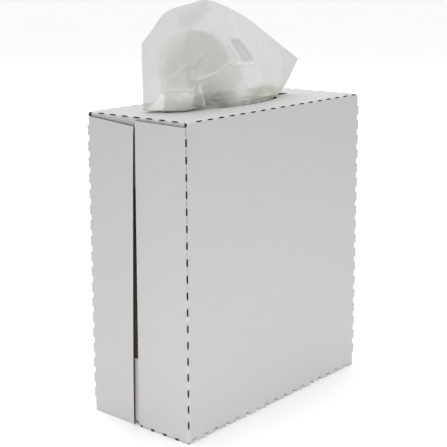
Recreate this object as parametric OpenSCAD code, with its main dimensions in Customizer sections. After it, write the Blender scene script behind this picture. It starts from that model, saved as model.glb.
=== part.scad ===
// Pop-up box of dry wipes: a carton folded from one sheet of thin corrugated board,
// the stack of interfolded wipes inside it, and the wipe that stands up through its slot.
// Millimetres, +Z up. X runs along the broad faces and Y from front to back.
// The origin is the middle of the base, and the front broad face looks along -Y.

/* [Carton] */
// Outside width of the broad faces
carton_w = 226; // [205:0.5:250]
// Outside depth from front to back
carton_d = 102.5; // [90:0.5:125]
// Outside height
carton_h = 245.5; // [200:0.5:280]
// Thickness of the corrugated board
board_t = 1.5; // [1.2:0.1:2]
// Outside radius of a fold where the board is left whole
fold_r = 2.4; // [1.8:0.1:3]
// Space between two glued plies of board
ply_gap = 0.2; // [0.1:0.05:0.4]

/* [Perforated folds] */
// Distance from one cut to the next along a fold
perf_pitch = 12.7; // [10:0.1:16]
// Length of one cut
perf_cut = 6.6; // [4:0.1:8]
// Distance from a fold's first end to the middle of its first cut
perf_start = 14.3; // [10:0.1:18]
// Least distance from the middle of the last cut to the fold's other end
perf_end = 8; // [6:0.5:14]
// Width that a cut stands open along the corner
cut_w = 0.9; // [0.6:0.1:1.3]

/* [End flaps] */
// Distance of the front flap's free edge behind the middle of the end
seam_offset = 1.2; // [-4:0.1:4]
// Gap between the two outer flaps at the top
seam_gap_top = 1.7; // [0.8:0.1:4]
// Gap between the two outer flaps at the foot
seam_gap_foot = 5.8; // [0.8:0.1:8]
// Drop of the front flap's top edge below the carton's top, at its fold
front_flap_drop = 3.4; // [2:0.1:6]
// Rise of the front flap's top edge towards its free corner
front_flap_rise = 1; // [0:0.1:1.5]
// Height of the front flap's bottom edge above the base
front_flap_lift = 1.4; // [0:0.1:4]
// Drop of the back flap's top edge at its fold
back_flap_drop = 2.8; // [2:0.1:6]
// Further drop of the back flap's top edge at its free corner
back_flap_taper = 4; // [0:0.1:8]
// Chamfer at the foot of the front flap's free edge
flap_chamfer = 2.5; // [0:0.1:5]
// Length of the inner dust flaps
dust_flap_l = 55; // [30:1:80]
// Space between a dust flap's side edges and the broad faces
dust_side_gap = 1.3; // [0.6:0.1:3]
// Chamfer at the corners of the dust flaps
dust_chamfer = 8; // [2:0.5:15]
// Height of the glue tab inside the back face
glue_tab_h = 30; // [15:1:40]
// Inset of the glue tab's free corners
glue_tab_taper = 12; // [4:1:20]

/* [Slot] */
// Length of the oval slot in the top
slot_l = 110; // [90:1:130]
// Width of the slot at its middle
slot_w = 44; // [36:1:56]
// Radius at the two ends of the slot
slot_end_r = 13; // [9:0.5:15]
// Length of the tear slit that runs on from each end of the slot
tear_l = 25; // [10:1:35]
// Width of the tear slits
tear_w = 1.2; // [0.6:0.1:2]

/* [Wipes] */
// Space between the stack of folded wipes and the top panel
head_gap = 14.5; // [6:0.5:60]
// Number of fold bulges up each side of the stack
pack_layers = 38; // [20:1:60]
// Depth of the hollow between two fold bulges
pack_groove = 1.2; // [0.4:0.1:2]
// Space between the stack and the ends of the carton
pack_end_gap = 4; // [1:0.5:10]
// Space between the stack and the broad sides of the carton
pack_side_gap = 0.9; // [0.4:0.1:3]
// Thickness that the standing wipe's folded cloth takes up
wipe_t = 1.2; // [0.8:0.1:2]
// Space between the standing wipe and what it touches
wipe_gap = 0.3; // [0.2:0.05:0.5]
// Height of the standing wipe's peak above the carton
wipe_stand = 83; // [60:1:110]
// Number of pleats across the standing wipe
pleats = 7; // [4:1:9]
// Depth of the pleats where the wipe is gathered in the slot
pleat_depth = 7; // [3:0.5:9]

/* [Hidden] */
$fn = 48;
// How far a cutting shape reaches past the face that it cuts
over = 1;

half_w = carton_w / 2;
half_d = carton_d / 2;
// Outer face of the dust flaps, one ply and its glue line in from the end
dust_x = half_w - board_t - ply_gap;
// Outer face of the glue tab, one ply and its glue line in from the back
tab_y = half_d - board_t - ply_gap;
inner_top = carton_h - board_t;
// Free edges of the two outer flaps
front_edge_y = seam_offset;
back_edge_top_y = seam_offset + seam_gap_top;
back_edge_foot_y = seam_offset + seam_gap_foot;
// A cut goes right through the board, whose inner corner is this far from the outer one
cut_reach = board_t * sqrt(2) + over;

// Radius of the two long sides of the slot, which meet round ends
slot_half_l = slot_l / 2;
slot_half_w = slot_w / 2;
slot_end_x = slot_half_l - slot_end_r;
slot_side_r = (pow(slot_end_x, 2) + pow(slot_half_w, 2) - pow(slot_end_r, 2))
    / (2 * (slot_half_w - slot_end_r));
slot_side_y = slot_side_r - slot_half_w;
// Where each side runs into its round end
slot_join_x = slot_end_x * slot_side_r / (slot_side_r - slot_end_r);
// The long sides are arcs of a large circle, which takes more steps to look round
slot_side_fn = 360;

// The stack stands on the bottom panel, between the front face and the glue tab
stack_front_y = -half_d + board_t + pack_side_gap;
stack_back_y = tab_y - board_t - pack_side_gap;
stack_half_w = dust_x - board_t - pack_end_gap;
stack_top = inner_top - head_gap;
pack_h = stack_top - board_t;
layer_h = pack_h / pack_layers;

function cut_count(length) = floor((length - perf_start - perf_end) / perf_pitch) + 1;
function cut_middle(i) = perf_start + i * perf_pitch;

// One corner fold along +X from the origin, with the board on its +Y and +Z sides.
// It is rounded where the board is whole and left square with an open slit at each cut.
module fold_cutter(length) {
    count = cut_count(length);
    for (i = [0:count]) {
        from = i == 0 ? -over : cut_middle(i - 1) + perf_cut / 2;
        to = i == count ? length + over : cut_middle(i) - perf_cut / 2;
        translate([from, 0, 0]) rotate([90, 0, 90]) linear_extrude(to - from) fold_round();
    }
    for (i = [0:count - 1])
        translate([cut_middle(i), 0, 0]) rotate([45, 0, 0])
            translate([-perf_cut / 2, -cut_w / 2, -over]) cube([perf_cut, cut_w, cut_reach + over]);
}

// What is taken off a square corner to leave it round
module fold_round() {
    difference() {
        translate([-over, -over]) square(fold_r + over);
        translate([fold_r, fold_r]) circle(fold_r);
    }
}

// A fold that runs down the corner at (x, y), from the top; the board lies inwards of it
module upright_fold(x, y) {
    mirror([x > 0 ? 1 : 0, 0, 0]) mirror([0, y > 0 ? 1 : 0, 0])
        translate([-half_w, -half_d, carton_h]) rotate([0, 90, 0])
            fold_cutter(carton_h);
}

// A fold along X at the front or back, side = -1 or 1, of the top or the bottom
module long_fold(side, top) {
    translate([-half_w, 0, 0]) mirror([0, side > 0 ? 1 : 0, 0])
        translate([0, -half_d, top ? carton_h : 0]) mirror([0, 0, top ? 1 : 0])
            fold_cutter(carton_w);
}

// A fold along Y at one end, where a dust flap turns off the top or the bottom
module end_fold(side, top) {
    mirror([side > 0 ? 1 : 0, 0, 0]) translate([-dust_x, half_d, top ? carton_h : 0])
        mirror([0, 0, top ? 1 : 0]) rotate([0, 0, -90]) fold_cutter(carton_d);
}

// Slot outline: two long arcs that run into round ends
module slot_shape() {
    intersection() {
        for_both_sides() translate([0, -slot_side_y]) circle(slot_side_r, $fn = slot_side_fn);
        square([2 * slot_join_x, slot_w + over], center = true);
    }
    for (x = [-slot_end_x, slot_end_x]) translate([x, 0]) circle(slot_end_r);
    square([2 * (slot_half_l + tear_l), tear_w], center = true);
}
module for_both_sides() {
    intersection() {
        children();
        mirror([0, 1]) children();
    }
}

// The two outer flaps of one end, drawn with Y across and Z up
module front_flap_shape() {
    polygon([
        [-half_d, front_flap_lift],
        [front_edge_y - flap_chamfer, front_flap_lift],
        [front_edge_y, front_flap_lift + flap_chamfer],
        [front_edge_y, carton_h - front_flap_drop + front_flap_rise],
        [-half_d, carton_h - front_flap_drop]
    ]);
}
module back_flap_shape() {
    polygon([
        [half_d, 0],
        [back_edge_foot_y, 0],
        [back_edge_top_y, carton_h - back_flap_drop - back_flap_taper],
        [half_d, carton_h - back_flap_drop]
    ]);
}
module dust_flap_shape() {
    half = half_d - board_t - dust_side_gap;
    polygon([
        [-half, 0], [half, 0],
        [half, dust_flap_l - dust_chamfer], [half - dust_chamfer, dust_flap_l],
        [-half + dust_chamfer, dust_flap_l], [-half, dust_flap_l - dust_chamfer]
    ]);
}

// Stands a Y-Z drawing up as a ply of board whose outer face is at x = -face
module end_ply(face) {
    translate([-face, 0, 0]) rotate([90, 0, 90]) linear_extrude(board_t) children();
}

module end_flaps() {
    end_ply(half_w) front_flap_shape();
    end_ply(half_w) back_flap_shape();
    end_ply(dust_x) dust_flap_shape();
    end_ply(dust_x) translate([0, carton_h]) mirror([0, 1]) dust_flap_shape();
}

// The tab that turns up off the bottom panel and is glued inside the back face
module glue_tab() {
    half = dust_x - board_t - ply_gap;
    translate([0, tab_y, 0]) rotate([90, 0, 0]) linear_extrude(board_t) polygon([
        [-half, 0], [half, 0], [half - glue_tab_taper, glue_tab_h],
        [-half + glue_tab_taper, glue_tab_h]
    ]);
}

module broad_face(side) {
    notch = side > 0 ? back_flap_drop : front_flap_drop - front_flap_rise;
    translate([0, side > 0 ? half_d : -half_d + board_t, 0]) rotate([90, 0, 0])
        linear_extrude(board_t) notched_shape(notch);
}

// A broad face is notched at its top corners, where its outer flaps part from the top
module notched_shape(notch) {
    polygon([
        [-half_w, 0], [half_w, 0], [half_w, carton_h - notch], [dust_x, carton_h - notch],
        [dust_x, carton_h], [-dust_x, carton_h], [-dust_x, carton_h - notch],
        [-half_w, carton_h - notch]
    ]);
}

module carton() {
    color("white") difference() {
        union() {
            broad_face(-1);
            broad_face(1);
            translate([-dust_x, -half_d, inner_top]) cube([2 * dust_x, carton_d, board_t]);
            translate([-dust_x, -half_d, 0]) cube([2 * dust_x, half_d + tab_y, board_t]);
            glue_tab();
            end_flaps();
            mirror([1, 0, 0]) end_flaps();
        }
        for (x = [-1, 1], y = [-1, 1]) upright_fold(x, y);
        long_fold(-1, true);
        long_fold(1, true);
        long_fold(-1, false);
        for (side = [-1, 1], top = [true, false]) end_fold(side, top);
        translate([0, 0, inner_top - over]) linear_extrude(board_t + 2 * over) slot_shape();
    }
}

// Seen from the end, the stack has a groove between each fold and the next up both sides
module stack_side_shape() {
    difference() {
        translate([stack_front_y, board_t])
            square([stack_back_y - stack_front_y, pack_h]);
        for (side = [0, 1], i = [0:pack_layers])
            translate([side == 0 ? stack_front_y : stack_back_y, board_t + i * layer_h])
                rotate(45) square(pack_groove * sqrt(2), center = true);
    }
}
module wipe_stack() {
    color("whitesmoke") translate([-stack_half_w, 0, 0]) rotate([90, 0, 90])
        linear_extrude(2 * stack_half_w) stack_side_shape();
}

// The wipe leaves the stack, passes the slot, spreads over the top and stands up.
// Each of its rows is a curve from its left side, u = 0, to its right side, u = 1.
columns = 63;
rows_above = 12;
row_low = stack_top + wipe_gap;
row_under = inner_top - over;
row_over = carton_h + wipe_gap;

// Where the wipe spreads just above the top: x, y and height above the carton
spread_points = [
    [-86, 12, 3], [-80, 2, 2], [-66, -9, 2], [-44, -14, 4],
    [-18, -19, 5], [10, -21, 5], [38, -17, 4], [56, -8, 3], [70, 1, 3]
];
// Its free edge: x, y and height as a share of its peak's height
edge_points = [
    [-89, 14, 0.64], [-80, 13, 0.75], [-65, 11, 0.91], [-42, 8, 0.98],
    [-18, 5, 1], [20, 1, 0.83], [53, -3, 0.595], [86, -6, 0.36]
];

// A smooth curve through a row's points
function point_in(points, i) = points[max(0, min(len(points) - 1, i))];
function curve_at(points, u) =
    let (
        s = u * (len(points) - 1), i = min(floor(s), len(points) - 2), f = s - i,
        a = point_in(points, i - 1), b = point_in(points, i),
        c = point_in(points, i + 1), d = point_in(points, i + 2)
    )
    b + (c - a) * f / 2 + (2 * a - 5 * b + 4 * c - d) * f * f / 2
    + (3 * b - a - 3 * c + d) * f * f * f / 2;

// Half the slot's width at a distance x from its middle
function slot_half_at(x) =
    abs(x) < slot_join_x
    ? sqrt(pow(slot_side_r, 2) - x * x) - slot_side_y
    : sqrt(max(0, pow(slot_end_r, 2) - pow(abs(x) - slot_end_x, 2)));

// Pleats of uneven width, from 0 at the near side to 1 at the far side of the cloth
pleat_drift = 0.05;
pleat_drift_turns = 1.5;
function pleat(u) =
    (1 - cos(360 * pleats * (u + pleat_drift * sin(360 * pleat_drift_turns * u)))) / 2;

// In the slot the wipe lies against the near side and is pleated inwards from it
slot_reach_x = slot_half_l - 2 * wipe_t - wipe_gap;
function slot_row(u) =
    let (x = (2 * u - 1) * slot_reach_x, half = slot_half_at(x) - wipe_t / 2 - wipe_gap)
    [x, -half + min(pleat_depth, half) * pleat(u), 0];

// Above the top the pleats open out as the cloth rises to its free edge
pleat_spread = 0.7;
pleat_fade = 1.5;
function above(u, s) =
    let (
        low = curve_at(spread_points, u), e = curve_at(edge_points, u),
        high = [e[0], e[1], e[2] * wipe_stand], fade = pow(1 - s, pleat_fade)
    )
    low * (1 - s) + high * s + [0, pleat_depth * pleat_spread * pleat(u) * fade, carton_h];

function wipe_point(u, row) =
    row == 0 ? slot_row(u) + [0, 0, row_low]
    : row == 1 ? slot_row(u) + [0, 0, row_under]
    : row == 2 ? slot_row(u) + [0, 0, row_over]
    : above(u, (row - 3) / rows_above);

module standing_wipe() {
    rows = rows_above + 3;
    grid = [for (row = [0:rows], i = [0:columns]) wipe_point(i / columns, row)];
    side = [0, wipe_t / 2, 0];
    points = concat([for (p = grid) p - side], [for (p = grid) p + side]);
    n = columns + 1;
    back = n * (rows + 1);
    function at(row, i) = row * n + i;
    faces = concat(
        [for (row = [0:rows - 1], i = [0:columns - 1])
            [at(row, i), at(row + 1, i), at(row + 1, i + 1), at(row, i + 1)]],
        [for (row = [0:rows - 1], i = [0:columns - 1])
            [back + at(row, i), back + at(row, i + 1), back + at(row + 1, i + 1), back + at(row + 1, i)]],
        [for (i = [0:columns - 1]) [at(0, i), at(0, i + 1), back + at(0, i + 1), back + at(0, i)]],
        [for (i = [0:columns - 1])
            [at(rows, i + 1), at(rows, i), back + at(rows, i), back + at(rows, i + 1)]],
        [for (row = [0:rows - 1])
            [at(row + 1, 0), at(row, 0), back + at(row, 0), back + at(row + 1, 0)]],
        [for (row = [0:rows - 1])
            [at(row, columns), at(row + 1, columns), back + at(row + 1, columns), back + at(row, columns)]]
    );
    color("whitesmoke") polyhedron(points, faces, convexity = 10);
}

carton();
wipe_stack();
standing_wipe();
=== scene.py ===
"""Pop-up box of dry wipes: a white carton with perforated folds and one wipe standing through its slot.

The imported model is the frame. The carton is drawn flat, as its die cuts it, and folded up in code. The
perforations and the folded wipes of the stack are made with Geometry Nodes. The two wipes that rise
through the slot are gathered in code and settled with a short cloth simulation. Everything is in
metres, in the row's frame.
"""

from __future__ import annotations

import logging
import math
from dataclasses import dataclass, field
from enum import Enum

import bpy
import numpy as np
from mathutils import Matrix, Vector
from mathutils.geometry import delaunay_2d_cdt


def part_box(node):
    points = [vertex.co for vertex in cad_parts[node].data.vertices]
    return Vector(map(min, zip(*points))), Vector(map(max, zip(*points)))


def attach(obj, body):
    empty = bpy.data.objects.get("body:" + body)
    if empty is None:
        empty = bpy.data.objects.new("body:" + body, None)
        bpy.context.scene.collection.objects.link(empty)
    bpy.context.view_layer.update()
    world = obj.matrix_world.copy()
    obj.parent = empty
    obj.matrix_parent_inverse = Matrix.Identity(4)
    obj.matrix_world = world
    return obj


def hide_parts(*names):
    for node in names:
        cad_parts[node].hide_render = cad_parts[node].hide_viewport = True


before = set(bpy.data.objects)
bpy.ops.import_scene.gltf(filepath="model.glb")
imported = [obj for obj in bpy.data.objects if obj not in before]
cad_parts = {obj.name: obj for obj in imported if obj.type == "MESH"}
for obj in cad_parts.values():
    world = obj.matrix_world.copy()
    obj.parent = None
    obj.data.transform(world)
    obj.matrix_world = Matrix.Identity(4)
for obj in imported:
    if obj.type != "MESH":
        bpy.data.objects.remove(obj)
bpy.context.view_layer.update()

log = logging.getLogger("wipes_box")
MM = 0.001
PHOTO_PIXELS = 447
SENSOR_WIDTH = 36.0


# Small helpers


def mesh_object(name: str, points: np.ndarray, faces: list, smooth: bool = False) -> bpy.types.Object:
    """Makes a mesh object at the origin from its points and faces.

    Args:
        name: The object's name.
        points: An array of points in metres, one row each.
        faces: Lists of point indices, one for each face.
        smooth: Whether the faces are shaded smooth.

    Returns:
        The new object, linked to the scene.
    """
    mesh = bpy.data.meshes.new(name)
    mesh.from_pydata([tuple(p) for p in points], [], [tuple(int(i) for i in f) for f in faces])
    mesh.validate()
    if smooth:
        mesh.shade_smooth()
    else:
        mesh.shade_flat()
    made = bpy.data.objects.new(name, mesh)
    bpy.context.scene.collection.objects.link(made)
    return made


def evaluated_mesh(source: bpy.types.Object, name: str) -> bpy.types.Object:
    """Turns an object with its modifiers into a plain mesh object, and removes the first one.

    Args:
        source: The object with live modifiers.
        name: The name of the plain object.

    Returns:
        The plain object, with no modifier.
    """
    graph = bpy.context.evaluated_depsgraph_get()
    mesh = bpy.data.meshes.new_from_object(source.evaluated_get(graph))
    mesh.name = name
    bpy.data.objects.remove(source)
    made = bpy.data.objects.new(name, mesh)
    bpy.context.scene.collection.objects.link(made)
    return made


def smooth_curve(points: list, count: int) -> np.ndarray:
    """Runs a smooth curve through a few points and samples it evenly in its own parameter.

    Args:
        points: The points that the curve passes, each a list of numbers.
        count: How many samples are returned.

    Returns:
        An array with one row for each sample.
    """
    p = np.array(points, float)
    padded = np.vstack([p[0], p, p[-1]])
    s = np.linspace(0, len(p) - 1, count)
    i = np.minimum(s.astype(int), len(p) - 2)
    f = (s - i)[:, None]
    a, b, c, d = (padded[i + k] for k in range(4))
    return b + (c - a) * f / 2 + (2 * a - 5 * b + 4 * c - d) * f**2 / 2 + (3 * b - a - 3 * c + d) * f**3 / 2


def even_curve(points: list, count: int) -> np.ndarray:
    """Samples the smooth curve through a few points at even distances along it.

    Args:
        points: The points that the curve passes, each a list of numbers.
        count: How many samples are returned.

    Returns:
        An array with one row for each sample.
    """
    dense = smooth_curve(points, 40 * len(points))
    run = np.concatenate([[0], np.cumsum(np.linalg.norm(np.diff(dense, axis=0), axis=1))])
    even = np.linspace(0, run[-1], count)
    return np.column_stack([np.interp(even, run, dense[:, i]) for i in range(dense.shape[1])])


def ease(t: np.ndarray) -> np.ndarray:
    """Goes smoothly from 0 to 1 as t does, and stays there outside."""
    t = np.clip(t, 0, 1)
    return t * t * (3 - 2 * t)


# Node trees


class NodeCanvas:
    """Adds nodes to a tree and links them by name, so that the tree reads from top to bottom."""

    def __init__(self, tree: bpy.types.NodeTree) -> None:
        """Keeps the tree that nodes are added to."""
        self.tree = tree

    def add(self, kind: str, inputs: dict | None = None, **settings: object) -> bpy.types.Node:
        """Adds one node.

        Args:
            kind: The node's type, such as ShaderNodeTexNoise.
            inputs: Values or source sockets for its inputs, by name or index.
            settings: The node's own properties.

        Returns:
            The new node.
        """
        node = self.tree.nodes.new(kind)
        for key, value in settings.items():
            setattr(node, key, value)
        for key, value in (inputs or {}).items():
            if isinstance(value, bpy.types.NodeSocket):
                self.tree.links.new(value, node.inputs[key])
            else:
                node.inputs[key].default_value = value
        return node

    def math(self, operation: str, *values: object) -> bpy.types.NodeSocket:
        """Adds a Math node on the values and returns its result."""
        return self.add("ShaderNodeMath", dict(enumerate(values)), operation=operation).outputs[0]

    def ramp(self, value: bpy.types.NodeSocket, low: float, high: float) -> bpy.types.NodeSocket:
        """Turns a range of a value into 0 to 1, clamped, and returns the result."""
        made = self.add("ShaderNodeMapRange", {
            "Value": value, "From Min": low, "From Max": high}, clamp=True)
        return made.outputs["Result"]

    def blend(self, factor: object, first: object, second: object) -> bpy.types.NodeSocket:
        """Blends two colours by a factor and returns the colour."""
        made = self.add("ShaderNodeMix", {0: factor, 6: first, 7: second}, data_type="RGBA")
        return made.outputs[2]

    def place(self) -> bpy.types.NodeSocket:
        """The object's own coordinates, in metres."""
        return self.add("ShaderNodeTexCoord").outputs["Object"]

    def mark(self, name: str) -> bpy.types.NodeSocket:
        """A number that the mesh carries under that name."""
        return self.add("ShaderNodeAttribute", attribute_name=name).outputs["Fac"]

    def bands(self, pitch: float, way: str, blur: tuple[float, float, float]) -> bpy.types.NodeSocket:
        """Even bands across one axis.

        Args:
            pitch: The distance from band to band, in metres.
            way: The axis, as X, Y or Z.
            blur: How much the bands waver, with what detail and at what scale.

        Returns:
            A number from 0 to 1 that rises and falls once in each pitch.
        """
        waver, detail, scale = blur
        made = self.add("ShaderNodeTexWave", {
            "Vector": self.place(), "Scale": math.tau / 20 / pitch, "Distortion": waver,
            "Detail": detail, "Detail Scale": scale}, wave_type="BANDS", bands_direction=way)
        return made.outputs["Fac"]

    def bump(self, height: bpy.types.NodeSocket, strength: float, depth: float) -> bpy.types.NodeSocket:
        """Turns a height of 0 to 1 into a bent normal, for a relief of that depth in metres."""
        made = self.add("ShaderNodeBump", {"Strength": strength, "Distance": depth, "Height": height})
        return made.outputs[0]

    def vector(self, **parts: object) -> bpy.types.NodeSocket:
        """Joins numbers into a vector, by X, Y and Z."""
        return self.add("ShaderNodeCombineXYZ", parts).outputs[0]

    def line(self, count: object, first: object, step: object) -> bpy.types.NodeSocket:
        """A row of points, from a first place on and a step apart."""
        made = self.add("GeometryNodeMeshLine", {"Count": count, "Start Location": first, "Offset": step})
        return made.outputs[0]

    def copies(self, points: object, piece: object, material: object) -> bpy.types.NodeSocket:
        """Puts an object on every point, as real geometry with its material.

        Args:
            points: The socket of the points.
            piece: The socket of the object.
            material: The socket of the material.

        Returns:
            The socket of the geometry.
        """
        source = self.add("GeometryNodeObjectInfo", {"Object": piece})
        placed = self.add("GeometryNodeInstanceOnPoints", {
            "Points": points, "Instance": source.outputs["Geometry"]})
        real = self.add("GeometryNodeRealizeInstances", {"Geometry": placed.outputs[0]})
        made = self.add("GeometryNodeSetMaterial", {"Geometry": real.outputs[0], "Material": material})
        return made.outputs[0]


def shader_group(name: str, inputs: dict[str, float], outputs: dict[str, str]) -> tuple:
    """Starts a shader node group with named sockets.

    Args:
        name: The group's name.
        inputs: The default of each number that goes in, by name. Coordinates come in as Place.
        outputs: The socket type of each thing that comes out, by name.

    Returns:
        The group, a canvas on it, and its input and output nodes.
    """
    tree = bpy.data.node_groups.new(name, "ShaderNodeTree")
    tree.interface.new_socket(name="Place", in_out="INPUT", socket_type="NodeSocketVector")
    for key, value in inputs.items():
        socket = tree.interface.new_socket(name=key, in_out="INPUT", socket_type="NodeSocketFloat")
        socket.default_value = value
    for key, kind in outputs.items():
        tree.interface.new_socket(name=key, in_out="OUTPUT", socket_type=kind)
    canvas = NodeCanvas(tree)
    return tree, canvas, canvas.add("NodeGroupInput"), canvas.add("NodeGroupOutput")


def geometry_group(name: str, inputs: dict[str, str]) -> tuple:
    """Starts a Geometry Nodes tree with named sockets.

    Args:
        name: The tree's name.
        inputs: The socket type of each thing that goes in, by name. Geometry comes in too.

    Returns:
        The tree, a canvas on it, and its input and output nodes.
    """
    tree = bpy.data.node_groups.new(name, "GeometryNodeTree")
    tree.interface.new_socket(name="Geometry", in_out="OUTPUT", socket_type="NodeSocketGeometry")
    for key, kind in {"Geometry": "Geometry", **inputs}.items():
        tree.interface.new_socket(name=key, in_out="INPUT", socket_type="NodeSocket" + kind)
    canvas = NodeCanvas(tree)
    return tree, canvas, canvas.add("NodeGroupInput"), canvas.add("NodeGroupOutput")


def run_tree(tree: bpy.types.NodeTree, name: str, inputs: dict[str, object]) -> bpy.types.Object:
    """Runs a Geometry Nodes tree and turns what comes out into a plain mesh.

    Args:
        tree: The tree.
        name: The name of the plain object.
        inputs: The value of each of the tree's inputs, by name.

    Returns:
        The plain object.
    """
    holder = mesh_object(name + "_holder", np.zeros((1, 3)), [])
    modifier = holder.modifiers.new(tree.name, "NODES")
    modifier.node_group = tree
    for item in tree.interface.items_tree:
        if item.in_out == "INPUT" and item.name in inputs:
            modifier[item.identifier] = inputs[item.name]
    return evaluated_mesh(holder, name)


def make_fibre_group() -> bpy.types.NodeTree:
    """Builds the group of short fibres that paper, kraft board and nonwoven cloth all show.

    Returns:
        A group with Place, Scale, Stretch and Seed in, and Fibre, Mottle and Height out.
    """
    outputs = {"Fibre": "NodeSocketFloat", "Mottle": "NodeSocketFloat", "Height": "NodeSocketFloat"}
    tree, canvas, start, end = shader_group(
        "fibres", {"Scale": 1.0, "Stretch": 3.0, "Seed": 0.0}, outputs)
    stretch = canvas.vector(X=1.0, Y=1.0, Z=start.outputs["Stretch"])
    laid = canvas.add("ShaderNodeVectorMath", {0: start.outputs["Place"], 1: stretch}, operation="DIVIDE")
    fine = canvas.add("ShaderNodeTexNoise", {
        "Vector": laid.outputs[0], "W": start.outputs["Seed"], "Scale": start.outputs["Scale"],
        "Detail": 4.0, "Roughness": 0.62, "Distortion": 0.6}, noise_dimensions="4D")
    broad_scale = canvas.math("MULTIPLY", start.outputs["Scale"], 0.06)
    broad = canvas.add("ShaderNodeTexNoise", {
        "Vector": start.outputs["Place"], "W": start.outputs["Seed"], "Scale": broad_scale,
        "Detail": 5.0, "Roughness": 0.55}, noise_dimensions="4D")
    fibre = canvas.ramp(fine.outputs[0], 0.32, 0.68)
    mottle = canvas.ramp(broad.outputs[0], 0.3, 0.7)
    height = canvas.math("ADD", fibre, canvas.math("MULTIPLY", mottle, 0.5))
    for key, value in {"Fibre": fibre, "Mottle": mottle, "Height": height}.items():
        tree.links.new(value, end.inputs[key])
    return tree


@dataclass(frozen=True)
class Finish:
    """What every finish holds: its name, its colour and how rough it is."""

    name: str
    colour: tuple[float, float, float]
    roughness: float = 0.8

    def start(self) -> tuple[bpy.types.Material, NodeCanvas, bpy.types.Node]:
        """Makes the material with its shader.

        Returns:
            The material, a canvas on its tree, and its Principled BSDF.
        """
        material = bpy.data.materials.new(self.name)
        material.use_nodes = True
        shader = material.node_tree.nodes["Principled BSDF"]
        shader.inputs["Base Color"].default_value = (*self.colour, 1.0)
        shader.inputs["Roughness"].default_value = self.roughness
        return material, NodeCanvas(material.node_tree), shader

    def shade(self, *amount: float) -> tuple[float, float, float, float]:
        """The finish's colour made darker or lighter, by one factor or by one for each of its parts."""
        factors = amount * 3 if len(amount) == 1 else amount
        return (*[min(1.0, c * f) for c, f in zip(self.colour, factors)], 1.0)


@dataclass(frozen=True)
class FibreFinish(Finish):
    """A finish with fibres in it: their group, how fine, how far drawn out upwards and how deep they are."""

    fibres: bpy.types.NodeTree | None = None
    scale: float = 2600.0
    stretch: float = 2.2
    relief: float = 0.1 * MM

    def fibre_node(self, canvas: NodeCanvas) -> bpy.types.Node:
        """Adds the fibre group to a material."""
        return canvas.add("ShaderNodeGroup", {
            "Place": canvas.place(), "Scale": self.scale, "Stretch": self.stretch}, node_tree=self.fibres)


@dataclass(frozen=True)
class BoardFinish(FibreFinish):
    """Paper of the board, white on the outside and brown kraft on the inside."""

    tint: float = 0.05
    bump: float = 0.08
    fluted: bool = False
    flute_pitch: float = 3.2 * MM
    flute_blur: tuple[float, float, float] = (0.4, 1.0, 0.6)
    flute_tone: float = 0.2

    def make(self) -> bpy.types.Material:
        """Builds the material: fibre mottle, faint wash from the flutes and a soft bump."""
        material, canvas, shader = self.start()
        fibre = self.fibre_node(canvas)
        tone = canvas.math("ADD", canvas.math("MULTIPLY", fibre.outputs["Fibre"], 0.5),
                           canvas.math("MULTIPLY", fibre.outputs["Mottle"], 0.5))
        height = fibre.outputs["Height"]
        if self.fluted:
            wave = canvas.bands(self.flute_pitch, "X", self.flute_blur)
            tone = canvas.math("ADD", canvas.math("MULTIPLY", tone, 1 - self.flute_tone),
                               canvas.math("MULTIPLY", wave, self.flute_tone))
            height = canvas.math("ADD", canvas.math("MULTIPLY", height, 0.5), wave)
        colour = canvas.blend(tone, self.shade(1 - self.tint), self.shade(1 + self.tint))
        canvas.tree.links.new(colour, shader.inputs["Base Color"])
        canvas.tree.links.new(canvas.bump(height, self.bump, self.relief), shader.inputs["Normal"])
        shader.inputs["Specular IOR Level"].default_value = 0.35
        return material


@dataclass(frozen=True)
class CutEdgeFinish(FibreFinish):
    """The cut edge of the board: two liners with the hollows of the flute between them, painted dark as
    shade.
    """

    scale: float = 3400.0
    stretch: float = 3.0
    relief: float = 0.3 * MM
    liner_share: float = 0.2
    liner_blur: float = 0.03
    flute_pitch: float = 3.2 * MM
    flute_rise: float = 0.27
    flute_edges: tuple[float, float] = (0.17, 0.11)
    kraft_tones: tuple[float, float] = (0.8, 1.15)
    # The flute's hollows are painted dark as shade.
    hollow_shade_tone: float = 0.16

    def make(self) -> bpy.types.Material:
        """Builds the material from the edge's own UV map: U runs along the cut and V through the board."""
        material, canvas, shader = self.start()
        across = canvas.add("ShaderNodeSeparateXYZ", {
            0: canvas.add("ShaderNodeUVMap", uv_map="cut").outputs[0]})
        run, depth = across.outputs[0], across.outputs[1]
        turn = canvas.math("MULTIPLY", run, math.tau / self.flute_pitch)
        wave = canvas.math("MULTIPLY", canvas.math("SINE", turn), self.flute_rise)
        crest = canvas.math("ADD", wave, 0.5)
        off = canvas.math("ABSOLUTE", canvas.math("SUBTRACT", depth, crest))
        middle = canvas.math("ABSOLUTE", canvas.math("SUBTRACT", depth, 0.5))
        inner = 0.5 - self.liner_share
        liner = canvas.ramp(middle, inner, inner + self.liner_blur)
        paper = canvas.math("MAXIMUM", liner, canvas.ramp(off, *self.flute_edges))
        fibre = self.fibre_node(canvas)
        kraft = canvas.blend(fibre.outputs["Fibre"], *[self.shade(tone) for tone in self.kraft_tones])
        # Painted shade in the flute's hollows.
        colour = canvas.blend(paper, self.shade(self.hollow_shade_tone), kraft)
        canvas.tree.links.new(colour, shader.inputs["Base Color"])
        canvas.tree.links.new(canvas.bump(paper, 0.5, self.relief), shader.inputs["Normal"])
        return material


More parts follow.
